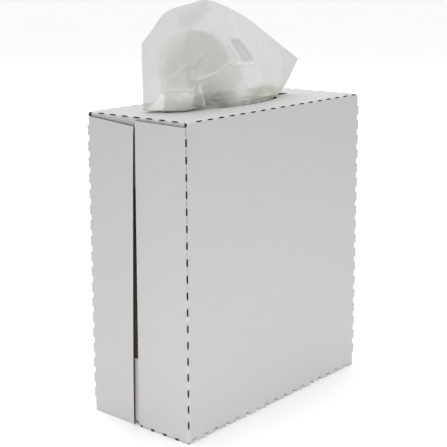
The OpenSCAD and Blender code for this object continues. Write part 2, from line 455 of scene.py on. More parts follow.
@dataclass(frozen=True)
class ClothFinish(FibreFinish):
    """Soft nonwoven cloth: matted fibres, thin spots and, where it hangs free, some light through it."""

    scale: float = 1500.0
    stretch: float = 0.45
    relief: float = 0.15 * MM
    fibre_tones: tuple[float, float] = (0.955, 1.02)
    cover: float = 1.0
    sheen: float = 0.25
    sheet_pitch: float = 0.75 * MM
    sheet_blur: tuple[float, float, float] = (1.2, 2.0, 0.4)
    # Painted light on the loose cloth: darker where it lies double, a highlight on folds and lit facets, and
    # brownish shade where it sinks into the slot.
    double_shade_tone: float = 0.88
    fold_highlight_tone: float = 1.5
    sunk_shade_tone: tuple[float, float, float] = (0.62, 0.60, 0.40)
    # Painted shade on the stack's cut ends: dark bands in the gaps between sheets and a brownish shaded tone
    # on the sheets.
    gap_shade_tone: tuple[float, float, float] = (0.06, 0.05, 0.035)
    sheet_shade_tone: tuple[float, float, float] = (0.3, 0.26, 0.2)
    layer_cover: float = 0.75
    fibre_cover: float = 0.10
    mottle_cover: float = 0.05

    def make(self) -> bpy.types.Material:
        """Builds the material. Its cover is how much of what lies behind one layer is hidden."""
        material, canvas, shader = self.start()
        fibre = self.fibre_node(canvas)
        colour = canvas.blend(fibre.outputs["Fibre"], *[self.shade(tone) for tone in self.fibre_tones])
        if self.cover < 1:
            colour = self.see_through(canvas, shader, fibre, colour)
        else:
            colour = self.shade_cut_ends(canvas, colour)
        canvas.tree.links.new(colour, shader.inputs["Base Color"])
        bump = canvas.bump(fibre.outputs["Height"], 0.35, self.relief)
        canvas.tree.links.new(bump, shader.inputs["Normal"])
        shader.inputs["Sheen Weight"].default_value = self.sheen
        shader.inputs["Sheen Roughness"].default_value = 0.6
        shader.inputs["Specular IOR Level"].default_value = 0.2
        return material

    def see_through(self, canvas: NodeCanvas, shader: bpy.types.Node, fibre: bpy.types.Node,
                    colour: bpy.types.NodeSocket) -> bpy.types.NodeSocket:
        """Lets light through the cloth, less where it is folded, lies double or sinks into the slot, and
        paints
        light on its colour: a highlight on folds and lit facets, shade where it lies double, and brownish
        shade where it sinks into the slot.

        Args:
            canvas: The material's canvas.
            shader: The material's shader.
            fibre: The fibre group's node.
            colour: The colour of one flat layer.

        Returns:
            The colour with the layered parts and the painted highlight and shade in it.
        """
        folded, doubled, sunk = (canvas.mark(name) for name in ("folded", "doubled", "sunk"))
        # Painted shade where the cloth lies double or sinks into the slot, and a painted highlight on its
        # folds and lit facets.
        for share, tone in ((doubled, self.shade(self.double_shade_tone)), (sunk, self.shade(*self.sunk_shade_tone)),
                            (folded, self.shade(self.fold_highlight_tone))):
            colour = canvas.blend(share, colour, tone)
        thin = canvas.math("MULTIPLY", fibre.outputs["Fibre"], self.fibre_cover)
        thin = canvas.math("ADD", thin, canvas.math("MULTIPLY", fibre.outputs["Mottle"], self.mottle_cover))
        layer = (1 - self.cover) * self.layer_cover
        for share in (folded, doubled, sunk):
            thin = canvas.math("ADD", thin, canvas.math("MULTIPLY", share, layer))
        lowest = self.cover - (self.fibre_cover + self.mottle_cover) / 2
        cover = canvas.add("ShaderNodeMath", {0: thin, 1: lowest}, operation="ADD", use_clamp=True)
        canvas.tree.links.new(cover.outputs[0], shader.inputs["Alpha"])
        return colour

    def shade_cut_ends(self, canvas: NodeCanvas, colour: bpy.types.NodeSocket) -> bpy.types.NodeSocket:
        """Paints shade on the stack's cut ends: dark bands for the shadow between the edges of the thin
        sheets, and a brownish shaded tone on the sheets.

        Args:
            canvas: The material's canvas.
            colour: The colour of the rest.

        Returns:
            The colour with the painted shade on the ends.
        """
        sheets = canvas.bands(self.sheet_pitch, "Z", self.sheet_blur)
        ends = canvas.blend(sheets, self.shade(*self.gap_shade_tone), self.shade(*self.sheet_shade_tone))
        return canvas.blend(canvas.mark("cut_end"), colour, ends)


@dataclass(frozen=True)
class FloorFinish(Finish):
    """Plain pale floor."""

    def make(self) -> bpy.types.Material:
        """Builds the material, a faint cloud of tone on one pale colour."""
        material, canvas, shader = self.start()
        cloud = canvas.add("ShaderNodeTexNoise", {"Vector": canvas.place(), "Scale": 2.0, "Detail": 2.0})
        colour = canvas.blend(cloud.outputs[0], self.shade(0.99), self.shade(1.01))
        canvas.tree.links.new(colour, shader.inputs["Base Color"])
        return material


# The carton


class Cut(Enum):
    """The faces of the folded board, by the finish that they take."""

    OUTSIDE = 0
    INSIDE = 1
    EDGE = 2


@dataclass(frozen=True)
class Panel:
    """One flat part of the blank, and where it goes when the carton is folded.

    The blank is drawn with p along the broad faces and q up it. A point (p, q) of the panel goes to
    corner + (p - at[0]) * p_way + (q - at[1]) * q_way.
    """

    name: str
    at: tuple[float, float]
    corner: tuple[float, float, float]
    p_way: tuple[float, float, float]
    q_way: tuple[float, float, float]
    out: tuple[float, float, float]

    def place(self, p: np.ndarray, q: np.ndarray) -> np.ndarray:
        """Folds points of the blank into space, as rows of x, y and z."""
        return (np.array(self.corner) + np.outer(p - self.at[0], self.p_way)
                + np.outer(q - self.at[1], self.q_way))


@dataclass(frozen=True)
class Fold:
    """A perforated fold line of the blank, between a first panel and a second one beyond it.

    An upright fold lies at p = line and runs along q; the others lie at q = line and run along p. The
    board bends from first to last, and the cuts count from cuts_from towards cuts_to.
    """

    line: float
    upright: bool
    first: float
    last: float
    near: Panel
    beyond: Panel
    side: int
    cuts_from: float
    cuts_to: float
    tight: bool = False

    @property
    def way(self) -> float:
        """1 where the cuts count up along the fold's line, and -1 where they count down."""
        return math.copysign(1.0, self.cuts_to - self.cuts_from)

    @property
    def length(self) -> float:
        """How long the stretch is that the cuts are counted over."""
        return abs(self.cuts_to - self.cuts_from)


@dataclass
class PerforationRule:
    """The steel rule that cuts the folds, as a Geometry Nodes tree of repeated slits."""

    pitch: float = 12.7 * MM
    cut: float = 6.6 * MM
    open_half: float = 0.62 * MM
    start: float = 14.3 * MM
    end: float = 8.0 * MM
    tree: bpy.types.NodeTree = field(init=False)
    STATIONS = (-0.5, -0.4, -0.2, 0.0, 0.2, 0.4, 0.5)

    def __post_init__(self) -> None:
        """Builds the tree once for all folds."""
        self.tree = self.build_tree()

    def count(self, length: float) -> int:
        """How many cuts a fold of that length has."""
        return math.floor((length - self.start - self.end) / self.pitch) + 1

    def half_width(self, share: float) -> float:
        """Half the width of an opened cut, at a share of its length from its middle."""
        return self.open_half * math.sqrt(max(0.0, 1 - (2 * abs(share)) ** 3))

    def slit(self) -> bpy.types.Object:
        """One opened cut as a flat face along X, for the tree to repeat."""
        upper = [(s * self.cut, self.half_width(s), 0.0) for s in self.STATIONS]
        lower = [(x, -y, 0.0) for x, y, _ in reversed(upper[1:-1])]
        return mesh_object("slit", np.array(upper + lower), [list(range(len(upper + lower)))])

    def build_tree(self) -> bpy.types.NodeTree:
        """Repeats a slit along a line.

        Returns:
            A tree with Slit, Count, Pitch, Start and Paper in, and the row of slits out.
        """
        tree, canvas, start, end = geometry_group("perforation", {
            "Slit": "Object", "Count": "Int", "Pitch": "Float", "Start": "Float", "Paper": "Material"})
        line = canvas.line(start.outputs["Count"], canvas.vector(X=start.outputs["Start"]),
                           canvas.vector(X=start.outputs["Pitch"]))
        made = canvas.copies(line, start.outputs["Slit"], start.outputs["Paper"])
        tree.links.new(made, end.inputs["Geometry"])
        return tree

    def slits(self, length: float, paper: bpy.types.Material) -> list[np.ndarray]:
        """The outlines of a fold's cuts, as points along it and across it.

        Args:
            length: The length of the fold.
            paper: The material that the tree sets.

        Returns:
            One array of outline points for each cut.
        """
        slit = self.slit()
        made = run_tree(self.tree, "slit_row", {
            "Slit": slit, "Count": self.count(length), "Pitch": self.pitch, "Start": self.start,
            "Paper": paper})
        outlines = [np.array([made.data.vertices[i].co[:2] for i in face.vertices])
                    for face in made.data.polygons]
        bpy.data.objects.remove(made)
        bpy.data.objects.remove(slit)
        return outlines


@dataclass
class Carton:
    """The carton: its blank with flaps, slot and perforated folds, folded up round the stack.

    REACH and BESIDE_FOLD are shares of a fold's radius, BESIDE_CUT of half the bridge between two cuts,
    and BOW_LEVELS says how far the flaps bow out at shares of the carton's height.
    """

    board: float = 1.5 * MM
    ply_gap: float = 0.2 * MM
    fold_r: float = 2.9 * MM
    tight_r: float = 1.7 * MM
    flare: float = 0.35 * MM
    foot_reach: float = 2.95 * MM
    tongue_round: float = 1.6 * MM
    foot_lift: float = 1.4 * MM
    blend_run: float = 1.1 * MM
    corner_run: float = 9.0 * MM
    seam_offset: float = 0.5 * MM
    seam_lean: float = 0.9 * MM
    seam_gap_top: float = 1.3 * MM
    seam_gap_foot: float = 5.5 * MM
    front_drop: float = 3.4 * MM
    front_rise: float = 1.0 * MM
    notch: float = 1.5 * MM
    torn_half: float = 0.25 * MM
    torn_bridges: int = 9
    torn_margins: tuple[float, float, float] = (0.5 * MM, 0.8 * MM, 0.7 * MM)
    torn_fade: float = 0.6
    front_lift: float = 0.5 * MM
    back_drop: float = 2.8 * MM
    back_taper: float = 4.0 * MM
    flap_chamfer: float = 2.5 * MM
    dust_l: float = 55.0 * MM
    dust_side: float = 3.1 * MM
    dust_lean: float = 2.8 * MM
    dust_chamfer: float = 8.0 * MM
    tab_h: float = 30.0 * MM
    tab_taper: float = 12.0 * MM
    slot_half_l: float = 55.0 * MM
    slot_half_w: float = 22.0 * MM
    slot_end_r: float = 13.0 * MM
    tear_l: float = 25.0 * MM
    tear_half_w: float = 0.6 * MM
    belly: float = 0.9 * MM
    back_bow: float = 1.3 * MM
    front_bow: float = 0.3 * MM
    bow_run: float = 18.0 * MM
    slit_lift: float = 1.4 * MM
    slit_run: float = 7.0 * MM
    grid_step: float = 17.0 * MM
    grid_edge: float = 9.0 * MM
    flap_edge: float = 12.0 * MM
    flap_rows: int = 14
    rim_step: float = 6.0 * MM
    clear_ends: float = 0.3 * MM
    clear_cut: float = 0.05 * MM
    rule: PerforationRule = field(default_factory=PerforationRule)
    REACH = 1.6
    BESIDE_FOLD = (REACH, 1.0, 0.72, 0.45)
    BESIDE_CUT = (0.18, 0.38, 0.7)
    BOW_LEVELS = ((0, 0.15, 0.35, 0.8, 1), (0.35, 0.9, 1.0, 0.8, 0.45))

    def __post_init__(self) -> None:
        """Reads the carton's outside size from the frame and lays out its panels and folds."""
        low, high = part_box("carton")
        self.half_w = high.x
        self.half_d = high.y
        self.height = high.z
        self.dust_x = self.half_w - self.board - self.ply_gap
        self.tab_q = self.board + self.ply_gap
        self.q_front = 2 * self.half_d
        self.q_top = self.q_front + self.height
        self.q_back = self.q_top + 2 * self.half_d
        self.q_end = self.q_back + self.height
        self.panels = self.lay_panels()
        self.folds = self.lay_folds()

    def lay_panels(self) -> dict[str, Panel]:
        """Places the main panels, the tab and, for each end, two outer and two dust flaps."""
        w, d, h, x = self.half_w, self.half_d, self.height, self.dust_x
        panels = {
            "bottom": Panel("bottom", (0, 0), (0, d, 0), (1, 0, 0), (0, -1, 0), (0, 0, -1)),
            "front": Panel("front", (0, self.q_front), (0, -d, 0), (1, 0, 0), (0, 0, 1), (0, -1, 0)),
            "top": Panel("top", (0, self.q_top), (0, -d, h), (1, 0, 0), (0, 1, 0), (0, 0, 1)),
            "back": Panel("back", (0, self.q_back), (0, d, h), (1, 0, 0), (0, 0, -1), (0, 1, 0)),
            "tab": Panel("tab", (0, self.tab_q), (0, d - self.tab_q, 0), (1, 0, 0), (0, 0, -1),
                         (0, 1, 0)),
        }
        for side in (-1, 1):
            out = (side, 0, 0)
            panels[f"front_flap{side}"] = Panel(
                "front_flap", (side * w, self.q_front), (side * w, -d, 0), (0, side, 0), (0, 0, 1), out)
            panels[f"back_flap{side}"] = Panel(
                "back_flap", (side * w, self.q_back), (side * w, d, h), (0, -side, 0), (0, 0, -1), out)
            panels[f"top_dust{side}"] = Panel(
                "top_dust", (side * x, self.q_top), (side * x, -d, h),
                (-self.dust_lean / self.dust_l, 0, -side), (0, 1, 0), out)
            panels[f"bottom_dust{side}"] = Panel(
                "bottom_dust", (side * x, 0), (side * x, d, 0), (0, 0, side), (0, -1, 0), out)
        return panels

    def lay_folds(self) -> list[Fold]:
        """Lists the perforated folds with the stretch that each takes on the blank."""
        named, w, x = self.panels, self.half_w, self.dust_x
        lift, drop = self.front_lift, self.front_drop
        folds = [
            Fold(self.q_front, False, -x, x, named["bottom"], named["front"], 1, -w, w),
            Fold(self.q_top, False, -x, x, named["front"], named["top"], 1, -w, w),
            Fold(self.q_back, False, -x, x, named["top"], named["back"], 1, -w, w, True),
        ]
        for side in (-1, 1):
            folds += [
                Fold(side * w, True, self.q_front + lift, self.q_top - drop, named["front"],
                     named[f"front_flap{side}"], side, self.q_top, self.q_front),
                Fold(side * w, True, self.q_back + self.back_drop, self.q_end, named["back"],
                     named[f"back_flap{side}"], side, self.q_back, self.q_end),
                Fold(side * x, True, self.q_top + self.dust_side, self.q_back - self.dust_side,
                     named["top"], named[f"top_dust{side}"], side, self.q_back, self.q_top, True),
                Fold(side * x, True, self.dust_side + self.tab_q, self.q_front - self.dust_side,
                     named["bottom"], named[f"bottom_dust{side}"], side, 0.0, self.q_front),
            ]
        return folds

    def radius(self, fold: Fold) -> float:
        """The radius that the board's outer face takes along a fold."""
        return self.tight_r if fold.tight else self.fold_r

    def outline(self) -> list[tuple[float, float]]:
        """The outer outline of the blank's right half, from the tab up to the back face's raw edge."""
        w, x, d2 = self.half_w, self.dust_x, self.dust_side
        tab_w = x - self.board - self.ply_gap
        reach = self.half_d + self.seam_offset
        reach_top = reach - self.seam_lean
        back_top = self.half_d * 2 - reach_top - self.seam_gap_top
        back_foot = self.half_d - self.seam_offset - self.seam_gap_foot
        c = self.dust_chamfer
        q0, q1, q2, q3 = self.q_front, self.q_top, self.q_back, self.q_end
        return [
            (tab_w - self.tab_taper, self.tab_q - self.tab_h), (tab_w, self.tab_q),
            (x, self.tab_q), (x, self.tab_q + d2),
            (x + self.dust_l - c, self.tab_q + d2), (x + self.dust_l, self.tab_q + d2 + c),
            (x + self.dust_l, q0 - d2 - c), (x + self.dust_l - c, q0 - d2), (x, q0 - d2), (x, q0),
            (w, q0), (w, q0 + self.front_lift),
            (w + reach - self.flap_chamfer, q0 + self.front_lift),
            (w + reach, q0 + self.front_lift + self.flap_chamfer),
            (w + reach_top, q1 - self.front_drop + self.front_rise), (w, q1 - self.front_drop),
            (x, q1 - self.notch), (x, q1), (x, q1 + d2), (x + self.dust_l - c, q1 + d2),
            (x + self.dust_l, q1 + d2 + c),
            (x + self.dust_l, q2 - d2 - c), (x + self.dust_l - c, q2 - d2), (x, q2 - d2), (x, q2),
            (x, q2 + self.notch), (w, q2 + self.back_drop),
            (w + back_top, q2 + self.back_drop + self.back_taper), (w + back_foot, q3), (w, q3),
        ]

    def slot_outline(self) -> np.ndarray:
        """The oval slot with its two tear slits, round the middle of the top panel, as p and q."""
        l, w, r = self.slot_half_l, self.slot_half_w, self.slot_end_r
        end_x = l - r
        side_r = (end_x**2 + w**2 - r**2) / (2 * (w - r))
        join = math.asin(end_x / (side_r - r))
        along = [(side_r * math.sin(a), side_r * math.cos(a) - side_r + w)
                 for a in np.linspace(0, join, 15)]
        low_turn = math.asin(self.tear_half_w / r)
        turn = [(end_x + r * math.sin(a), r * math.cos(a))
                for a in np.linspace(join, math.pi / 2 - low_turn, 9)[1:]]
        tip = [(l + self.tear_l * s, self.tear_half_w) for s in (0.33, 0.66)]
        tip += [(l + self.tear_l - self.tear_half_w, self.tear_half_w * 0.9), (l + self.tear_l, 0.0)]
        quarter = np.array(along + turn + tip)
        right = np.vstack([quarter, (quarter * [1, -1])[::-1][1:]])
        ring = np.vstack([right, (right * [-1, 1])[::-1][1:-1]])
        return ring + [0, self.q_top + self.half_d]

    def fold_slits(self, fold: Fold, paper: bpy.types.Material) -> list[np.ndarray]:
        """The outlines of one fold's cuts on the blank.

        Args:
            fold: The fold that is cut.
            paper: The material that the tree sets.

        Returns:
            One array of p and q for each cut.
        """
        outlines = []
        for slit in self.rule.slits(fold.length, paper):
            run = fold.cuts_from + fold.way * slit[:, 0]
            across = fold.line + slit[:, 1]
            outlines.append(np.column_stack([across, run] if fold.upright else [run, across]))
        return outlines

    def torn_creases(self) -> list[np.ndarray]:
        """Thin splits in the bridges between the cuts of the front upright folds.

        They run from the top corner down and get thinner. Each stops short of the cuts beside it by a
        margin, so that it stays a hole of its own.

        Returns:
            One outline of p and q for each split.
        """
        rule = self.rule
        first, half_cut = self.q_top - rule.start, rule.cut / 2
        above, below, margin = self.torn_margins
        spans = [(self.q_top - self.front_drop - above, first + half_cut + below)]
        spans += [(first - i * rule.pitch - half_cut - margin,
                   first - (i + 1) * rule.pitch + half_cut + margin) for i in range(self.torn_bridges)]
        loops = []
        for i, (high, low) in enumerate(spans):
            half, taper = self.torn_half * (1 - self.torn_fade * i / len(spans)), min(MM, (high - low) / 4)
            shape = np.array([(0, low), (half, low + taper), (half, high - taper), (0, high),
                              (-half, high - taper), (-half, low + taper)])
            loops += [shape + [side * self.half_w, 0] for side in (-1, 1)]
        return loops

    def fold_points(self, fold: Fold) -> np.ndarray:
        """Points beside one fold, close enough together to carry its bend and its cuts.

        Args:
            fold: The fold.

        Returns:
            Rows of p and q.
        """
        rule, r = self.rule, self.radius(fold)
        bridge = (rule.pitch - rule.cut) / 2
        steps = [s * rule.cut for s in rule.STATIONS]
        steps += [rule.cut / 2 + bridge * f for f in (*self.BESIDE_CUT, 1.0)]
        steps += [-rule.cut / 2 - bridge * f for f in self.BESIDE_CUT]
        middles = [fold.cuts_from + fold.way * (rule.start + i * rule.pitch)
                   for i in range(-1, rule.count(fold.length) + 1)]
        runs = np.array([m + s for m in middles for s in steps])
        runs = runs[(runs > fold.first + self.clear_ends) & (runs < fold.last - self.clear_ends)]
        runs = np.concatenate([runs, [fold.first, fold.last]])
        rows = []
        for share in self.BESIDE_FOLD:
            rows += [np.column_stack([np.full(len(runs), fold.line + s * (r * share)), runs])
                     for s in (-1, 1)]
        centres = np.array(middles[1:-1])
        clear = np.array([np.min(np.abs(centres - v)) > rule.cut / 2 + self.clear_cut for v in runs])
        rows.append(np.column_stack([np.full(clear.sum(), fold.line), runs[clear]]))
        points = np.vstack(rows)
        return points if fold.upright else points[:, ::-1]

    def flat_mesh(self, paper: bpy.types.Material) -> tuple[np.ndarray, list]:
        """Cuts the blank out of flat board.

        Args:
            paper: The material that the perforation tree sets.

        Returns:
            The blank's points as rows of p and q, and its triangles.
        """
        half = self.outline()
        whole = half + [(-p, q) for p, q in reversed(half)]
        loops = [np.array(whole), self.slot_outline()]
        for fold in self.folds:
            loops += self.fold_slits(fold, paper)
        loops += self.torn_creases()
        loops[0] = self.with_steps(loops[0], self.rim_step)
        free = [self.fold_points(fold) for fold in self.folds]
        free.append(self.grid_points())
        points = [Vector(p) for p in np.vstack(loops + free)]
        edges, at = [], 0
        for loop in loops:
            count = len(loop)
            edges += [(at + i, at + (i + 1) % count) for i in range(count)]
            at += count
        found, _, faces, _, _, _ = delaunay_2d_cdt(points, edges, [], 2, 1e-7)
        return np.array([tuple(p) for p in found]), self.kept_faces(found, faces, loops)

    def with_steps(self, loop: np.ndarray, step: float) -> np.ndarray:
        """Adds points to a loop so that no stretch of it is longer than step."""
        made = []
        for a, b in zip(loop, np.roll(loop, -1, axis=0)):
            pieces = max(1, math.ceil(np.linalg.norm(b - a) / step))
            made += [a + (b - a) * i / pieces for i in range(pieces)]
        return np.array(made)

    def grid_points(self) -> np.ndarray:
        """Points spread over the panels, clear of the folds, so that the board can belly."""
        rows, edge = [], self.grid_edge
        xs = np.arange(edge - self.half_w, self.half_w - edge + MM, self.grid_step)
        for low, high in ((self.tab_q, self.q_front), (self.q_front, self.q_top),
                          (self.q_top, self.q_back), (self.q_back, self.q_end)):
            qs = np.linspace(low + edge, high - edge, max(2, round((high - low) / self.grid_step)))
            rows += [(x, q) for x in xs for q in qs]
        for side in (-1, 1):
            for low in (self.q_front, self.q_back):
                for p in np.linspace(edge, self.half_d - edge + MM, 3):
                    rows += [(side * (self.half_w + p), low + q)
                             for q in np.linspace(self.flap_edge, self.height - self.flap_edge,
                                                  self.flap_rows)]
        points = np.array(rows)
        slot = self.slot_outline()
        low, high = slot.min(axis=0) - MM, slot.max(axis=0) + MM
        inside = np.all((points > low) & (points < high), axis=1)
        return points[~inside]

    def kept_faces(self, points: list, faces: list, loops: list[np.ndarray]) -> list:
        """Drops the triangles that lie in a hole or outside the outline.

        Args:
            points: The points of the triangulation.
            faces: Its triangles.
            loops: The outline first, and then each hole.

        Returns:
            The triangles that are board.
        """
        p = np.array([tuple(v) for v in points])
        middle = np.array([p[list(f)].mean(axis=0) for f in faces])
        keep = inside_loop(middle, loops[0]) & ~inside_loop(middle, loops[1])
        for hole in loops[2:]:
            low, high = hole.min(axis=0), hole.max(axis=0)
            near = np.where(np.all((middle > low) & (middle < high), axis=1))[0]
            if len(near):
                keep[near] &= ~inside_loop(middle[near], hole)
        return [list(f) for f, k in zip(faces, keep) if k]

    def panel_of(self, p: np.ndarray, q: np.ndarray) -> np.ndarray:
        """The name of the panel that each point of the blank lies on."""
        side = np.where(p > 0, "1", "-1")
        over_w, over_x = np.abs(p) > self.half_w + 1e-9, np.abs(p) > self.dust_x + 1e-9
        name = np.full(len(p), "bottom", dtype=object)
        name[q >= self.q_front - 1e-9] = "front"
        name[q > self.q_top + 1e-9] = "top"
        name[q >= self.q_back - 1e-9] = "back"
        name[q < self.tab_q - 1e-9] = "tab"
        for flat, folded, past in (("front", "front_flap", over_w), ("back", "back_flap", over_w),
                                   ("top", "top_dust", over_x), ("bottom", "bottom_dust", over_x)):
            hit = (name == flat) & past
            name[hit] = [folded + s for s in side[hit]]
        return name

    def fold_up(self, flat: np.ndarray) -> tuple[np.ndarray, np.ndarray]:
        """Folds the blank's points up.

        Args:
            flat: Rows of p and q.

        Returns:
            The place of each point on the board's outer face, and the way out of the board there.
        """
        p, q = flat[:, 0], flat[:, 1]
        names = self.panel_of(p, q)
        place, out = np.zeros((len(p), 3)), np.zeros((len(p), 3))
        for key, panel in self.panels.items():
            hit = names == key
            place[hit] = panel.place(p[hit], q[hit])
            out[hit] = panel.out
        for fold in self.folds:
            self.bend(fold, flat, place, out)
        return place, out / np.linalg.norm(out, axis=1)[:, None]

    def bend(self, fold: Fold, flat: np.ndarray, place: np.ndarray, out: np.ndarray) -> None:
        """Rounds the board along one fold where it is whole, and flares its lips at the cuts.

        Args:
            fold: The fold.
            flat: Rows of p and q.
            place: The places of the points, changed in place.
            out: The ways out of the board, changed in place.
        """
        across, run = (flat[:, 0], flat[:, 1]) if fold.upright else (flat[:, 1], flat[:, 0])
        off = (across - fold.line) * fold.side
        r = self.radius(fold)
        reach = self.REACH * r
        near = (np.abs(off) <= reach) & (run >= fold.first - 1e-6) & (run <= fold.last + 1e-6)
        index = np.where(near)[0]
        if not len(index):
            return
        along = run[index]
        on_line = np.column_stack([np.full(len(along), fold.line), along])
        if not fold.upright:
            on_line = on_line[:, ::-1]
        corner = fold.near.place(on_line[:, 0], on_line[:, 1])
        shift = np.array([1.0, 0.0] if fold.upright else [0.0, 1.0])
        first = fold.near.place(*(on_line - fold.side * shift).T) - corner
        second = fold.beyond.place(*(on_line + fold.side * shift).T) - corner
        s = off[index]
        cut = self.cut_share(fold, along)
        at_foot = "bottom" in (fold.near.name, fold.beyond.name)
        lip = cut * self.flare * ease(1 - np.abs(s) / reach)
        turn = (np.clip(s / r, -1, 1) + 1) * math.pi / 4
        outward = -(second * np.cos(turn)[:, None] + first * np.sin(turn)[:, None])
        arc = corner + r * (first + second) + r * outward
        arc = np.where((np.abs(s) >= r)[:, None], place[index], arc)
        if at_foot:
            inside = np.minimum(along - fold.first, fold.last - along) / self.corner_run
            arc[:, 2] += self.foot_lift * ease(1.2 - np.abs(s) / reach) * ease(inside)
        outward = np.where((np.abs(s) >= r)[:, None], out[index], outward)
        flared = place[index] + out[index] * lip[:, None] * self.free_side(out[index])[:, None]
        if at_foot and fold.upright:
            free = self.free_side(out[index])
            in_front = ease(-place[index, 1] / MM)
            near_line = ease(1 - np.abs(s) / reach) * self.tongue_share(fold, along) * in_front
            flared -= first * (self.foot_reach * (1 - free) * near_line)[:, None]
            flared[:, 2] += self.board * free * near_line
        place[index] = arc * (1 - cut[:, None]) + flared * cut[:, None]
        out[index] = outward * (1 - cut[:, None]) + out[index] * cut[:, None]

    def free_side(self, out: np.ndarray) -> np.ndarray:
        """1 where a lip may flare, and 0 on the base, which stays flat on its table."""
        return np.where(out[:, 2] < -0.5, 0.0, 1.0)

    def past_cut(self, fold: Fold, along: np.ndarray) -> np.ndarray:
        """How far each point lies past the end of the nearest cut, below zero beside the cut."""
        d = (along - fold.cuts_from) * fold.way - self.rule.start
        nearest = np.clip(np.round(d / self.rule.pitch), 0, self.rule.count(fold.length) - 1)
        return np.abs(d - nearest * self.rule.pitch) - self.rule.cut / 2

    def cut_share(self, fold: Fold, along: np.ndarray) -> np.ndarray:
        """How far the board beside each point is cut free of the fold, from 0 to 1."""
        return ease(1 - self.past_cut(fold, along) / self.blend_run)

    def tongue_share(self, fold: Fold, along: np.ndarray) -> np.ndarray:
        """How far the base's tongue stands out beside each point, from 0 at its ends to 1."""
        return ease(-self.past_cut(fold, along) / self.tongue_round)

    def bulge(self, place: np.ndarray) -> np.ndarray:
        """Bellies the broad faces, bows the flaps' free edges out and lifts the tear slit's back lip.

        Args:
            place: Points of the folded board, in metres.

        Returns:
            The points as a used carton has them.
        """
        x, y, z = place.T
        across = np.cos(np.clip(x / self.half_w, -1, 1) * math.pi / 2)
        up = np.sin(np.clip(z / self.height, 0, 1) * math.pi)
        share = np.clip(np.abs(y) / self.half_d, 0, 1) ** 8
        moved = place.copy()
        moved[:, 1] += np.sign(y) * self.belly * across * up * share
        outer = ease((np.abs(x) - self.dust_x) / (0.2 * MM))
        level = np.interp(z / self.height, *self.BOW_LEVELS)
        behind = ease((y - self.seam_offset) / MM)
        stand = np.where(behind > 0.5, self.back_bow, self.front_bow)
        free = np.exp(-(((y - self.seam_offset) / self.bow_run) ** 2))
        moved[:, 0] += np.sign(x) * stand * outer * free * level
        on_top = (z > self.height - 2 * self.board) & (y > 0)
        beside = np.interp(np.abs(x) - self.slot_half_l, [0, 6 * MM, 20 * MM, self.tear_l], [0.3, 1, 0.8, 0])
        beside *= (np.abs(x) > self.slot_half_l) & (np.abs(x) < self.slot_half_l + self.tear_l)
        moved[:, 2] += self.slit_lift * on_top * beside * np.exp(-((y / self.slit_run) ** 2))
        return moved

    def build(self, outside: bpy.types.Material, inside: bpy.types.Material,
              edge: bpy.types.Material) -> bpy.types.Object:
        """Cuts, folds and thickens the board.

        Args:
            outside: The finish of the outer liner.
            inside: The finish of the inner liner.
            edge: The finish of the cut edges.

        Returns:
            The carton as one closed mesh.
        """
        flat, faces = self.flat_mesh(outside)
        used = sorted({i for f in faces for i in f})
        renamed = {old: new for new, old in enumerate(used)}
        flat = flat[used]
        faces = np.array([[renamed[i] for i in f] for f in faces])
        place, out = self.fold_up(flat)
        flip = facing(place, faces, out)
        faces[flip] = faces[flip][:, ::-1]
        inner = place - out * self.board
        count = len(flat)
        rim = open_edges(faces)
        sides = [[a, a + count, b + count, b] for a, b in rim]
        points = np.vstack([self.bulge(place), self.bulge(inner)])
        made = mesh_object("carton_board", points,
                           faces.tolist() + (faces[:, ::-1] + count).tolist() + sides)
        for material in (outside, inside, edge):
            made.data.materials.append(material)
        finish = np.repeat([Cut.OUTSIDE.value, Cut.INSIDE.value, Cut.EDGE.value],
                           [len(faces), len(faces), len(sides)])
        made.data.polygons.foreach_set("material_index", finish)
        made.data.polygons.foreach_set("use_smooth", finish != Cut.EDGE.value)
        self.map_edges(made, rim, points, 2 * len(faces))
        made.data.set_sharp_from_angle(angle=math.radians(38))
        return made

    def map_edges(self, made: bpy.types.Object, rim: list, points: np.ndarray, first: int) -> None:
        """Gives the cut edges a UV map: U is the way along the cut in metres, and V the depth, 0 to 1.

        Args:
            made: The carton.
            rim: The edges that were closed, as pairs of point indices.
            points: The carton's points.
            first: The index of the first face that closes an edge.
        """
        layer = made.data.uv_layers.new(name="cut")
        runs = {}
        for (a, b), face in zip(rim, made.data.polygons[first:]):
            length = float(np.linalg.norm(points[b] - points[a]))
            at = runs.get(a, 0.0)
            runs[b] = at + length
            for loop, (u, v) in zip(face.loop_indices, ((at, 0), (at, 1), (at + length, 1),
                                                        (at + length, 0))):
                layer.data[loop].uv = (u, v)


def inside_loop(points: np.ndarray, loop: np.ndarray) -> np.ndarray:
    """Whether each point lies inside a closed outline.

    Args:
        points: Rows of two numbers.
        loop: The outline's points in order.

    Returns:
        An array of booleans.
    """
    hit = np.zeros(len(points), bool)
    x, y = points[:, 0], points[:, 1]
    for (ax, ay), (bx, by) in zip(loop, np.roll(loop, -1, axis=0)):
        if ay == by:
            continue
        crosses = (ay > y) != (by > y)
        hit ^= crosses & (x < (bx - ax) * (y - ay) / (by - ay) + ax)
    return hit


def facing(place: np.ndarray, faces: np.ndarray, out: np.ndarray) -> np.ndarray:
    """Whether each triangle is wound the wrong way round for the way out of the board."""
    a, b, c = (place[faces[:, i]] for i in range(3))
    return np.einsum("ij,ij->i", np.cross(b - a, c - a), out[faces].sum(axis=1)) < 0


def open_edges(faces: np.ndarray) -> list[tuple[int, int]]:
    """The edges that only one triangle uses, in the order that follows the outline."""
    pairs = np.vstack([faces[:, [0, 1]], faces[:, [1, 2]], faces[:, [2, 0]]])
    key = {(a, b) for a, b in pairs.tolist()}
    free = [(a, b) for a, b in pairs.tolist() if (b, a) not in key]
    after = {a: b for a, b in free}
    ordered, left = [], set(after)
    while left:
        a = min(left)
        while a in left:
            left.discard(a)
            ordered.append((a, after[a]))
            a = after[a]
    return ordered


# The wipes


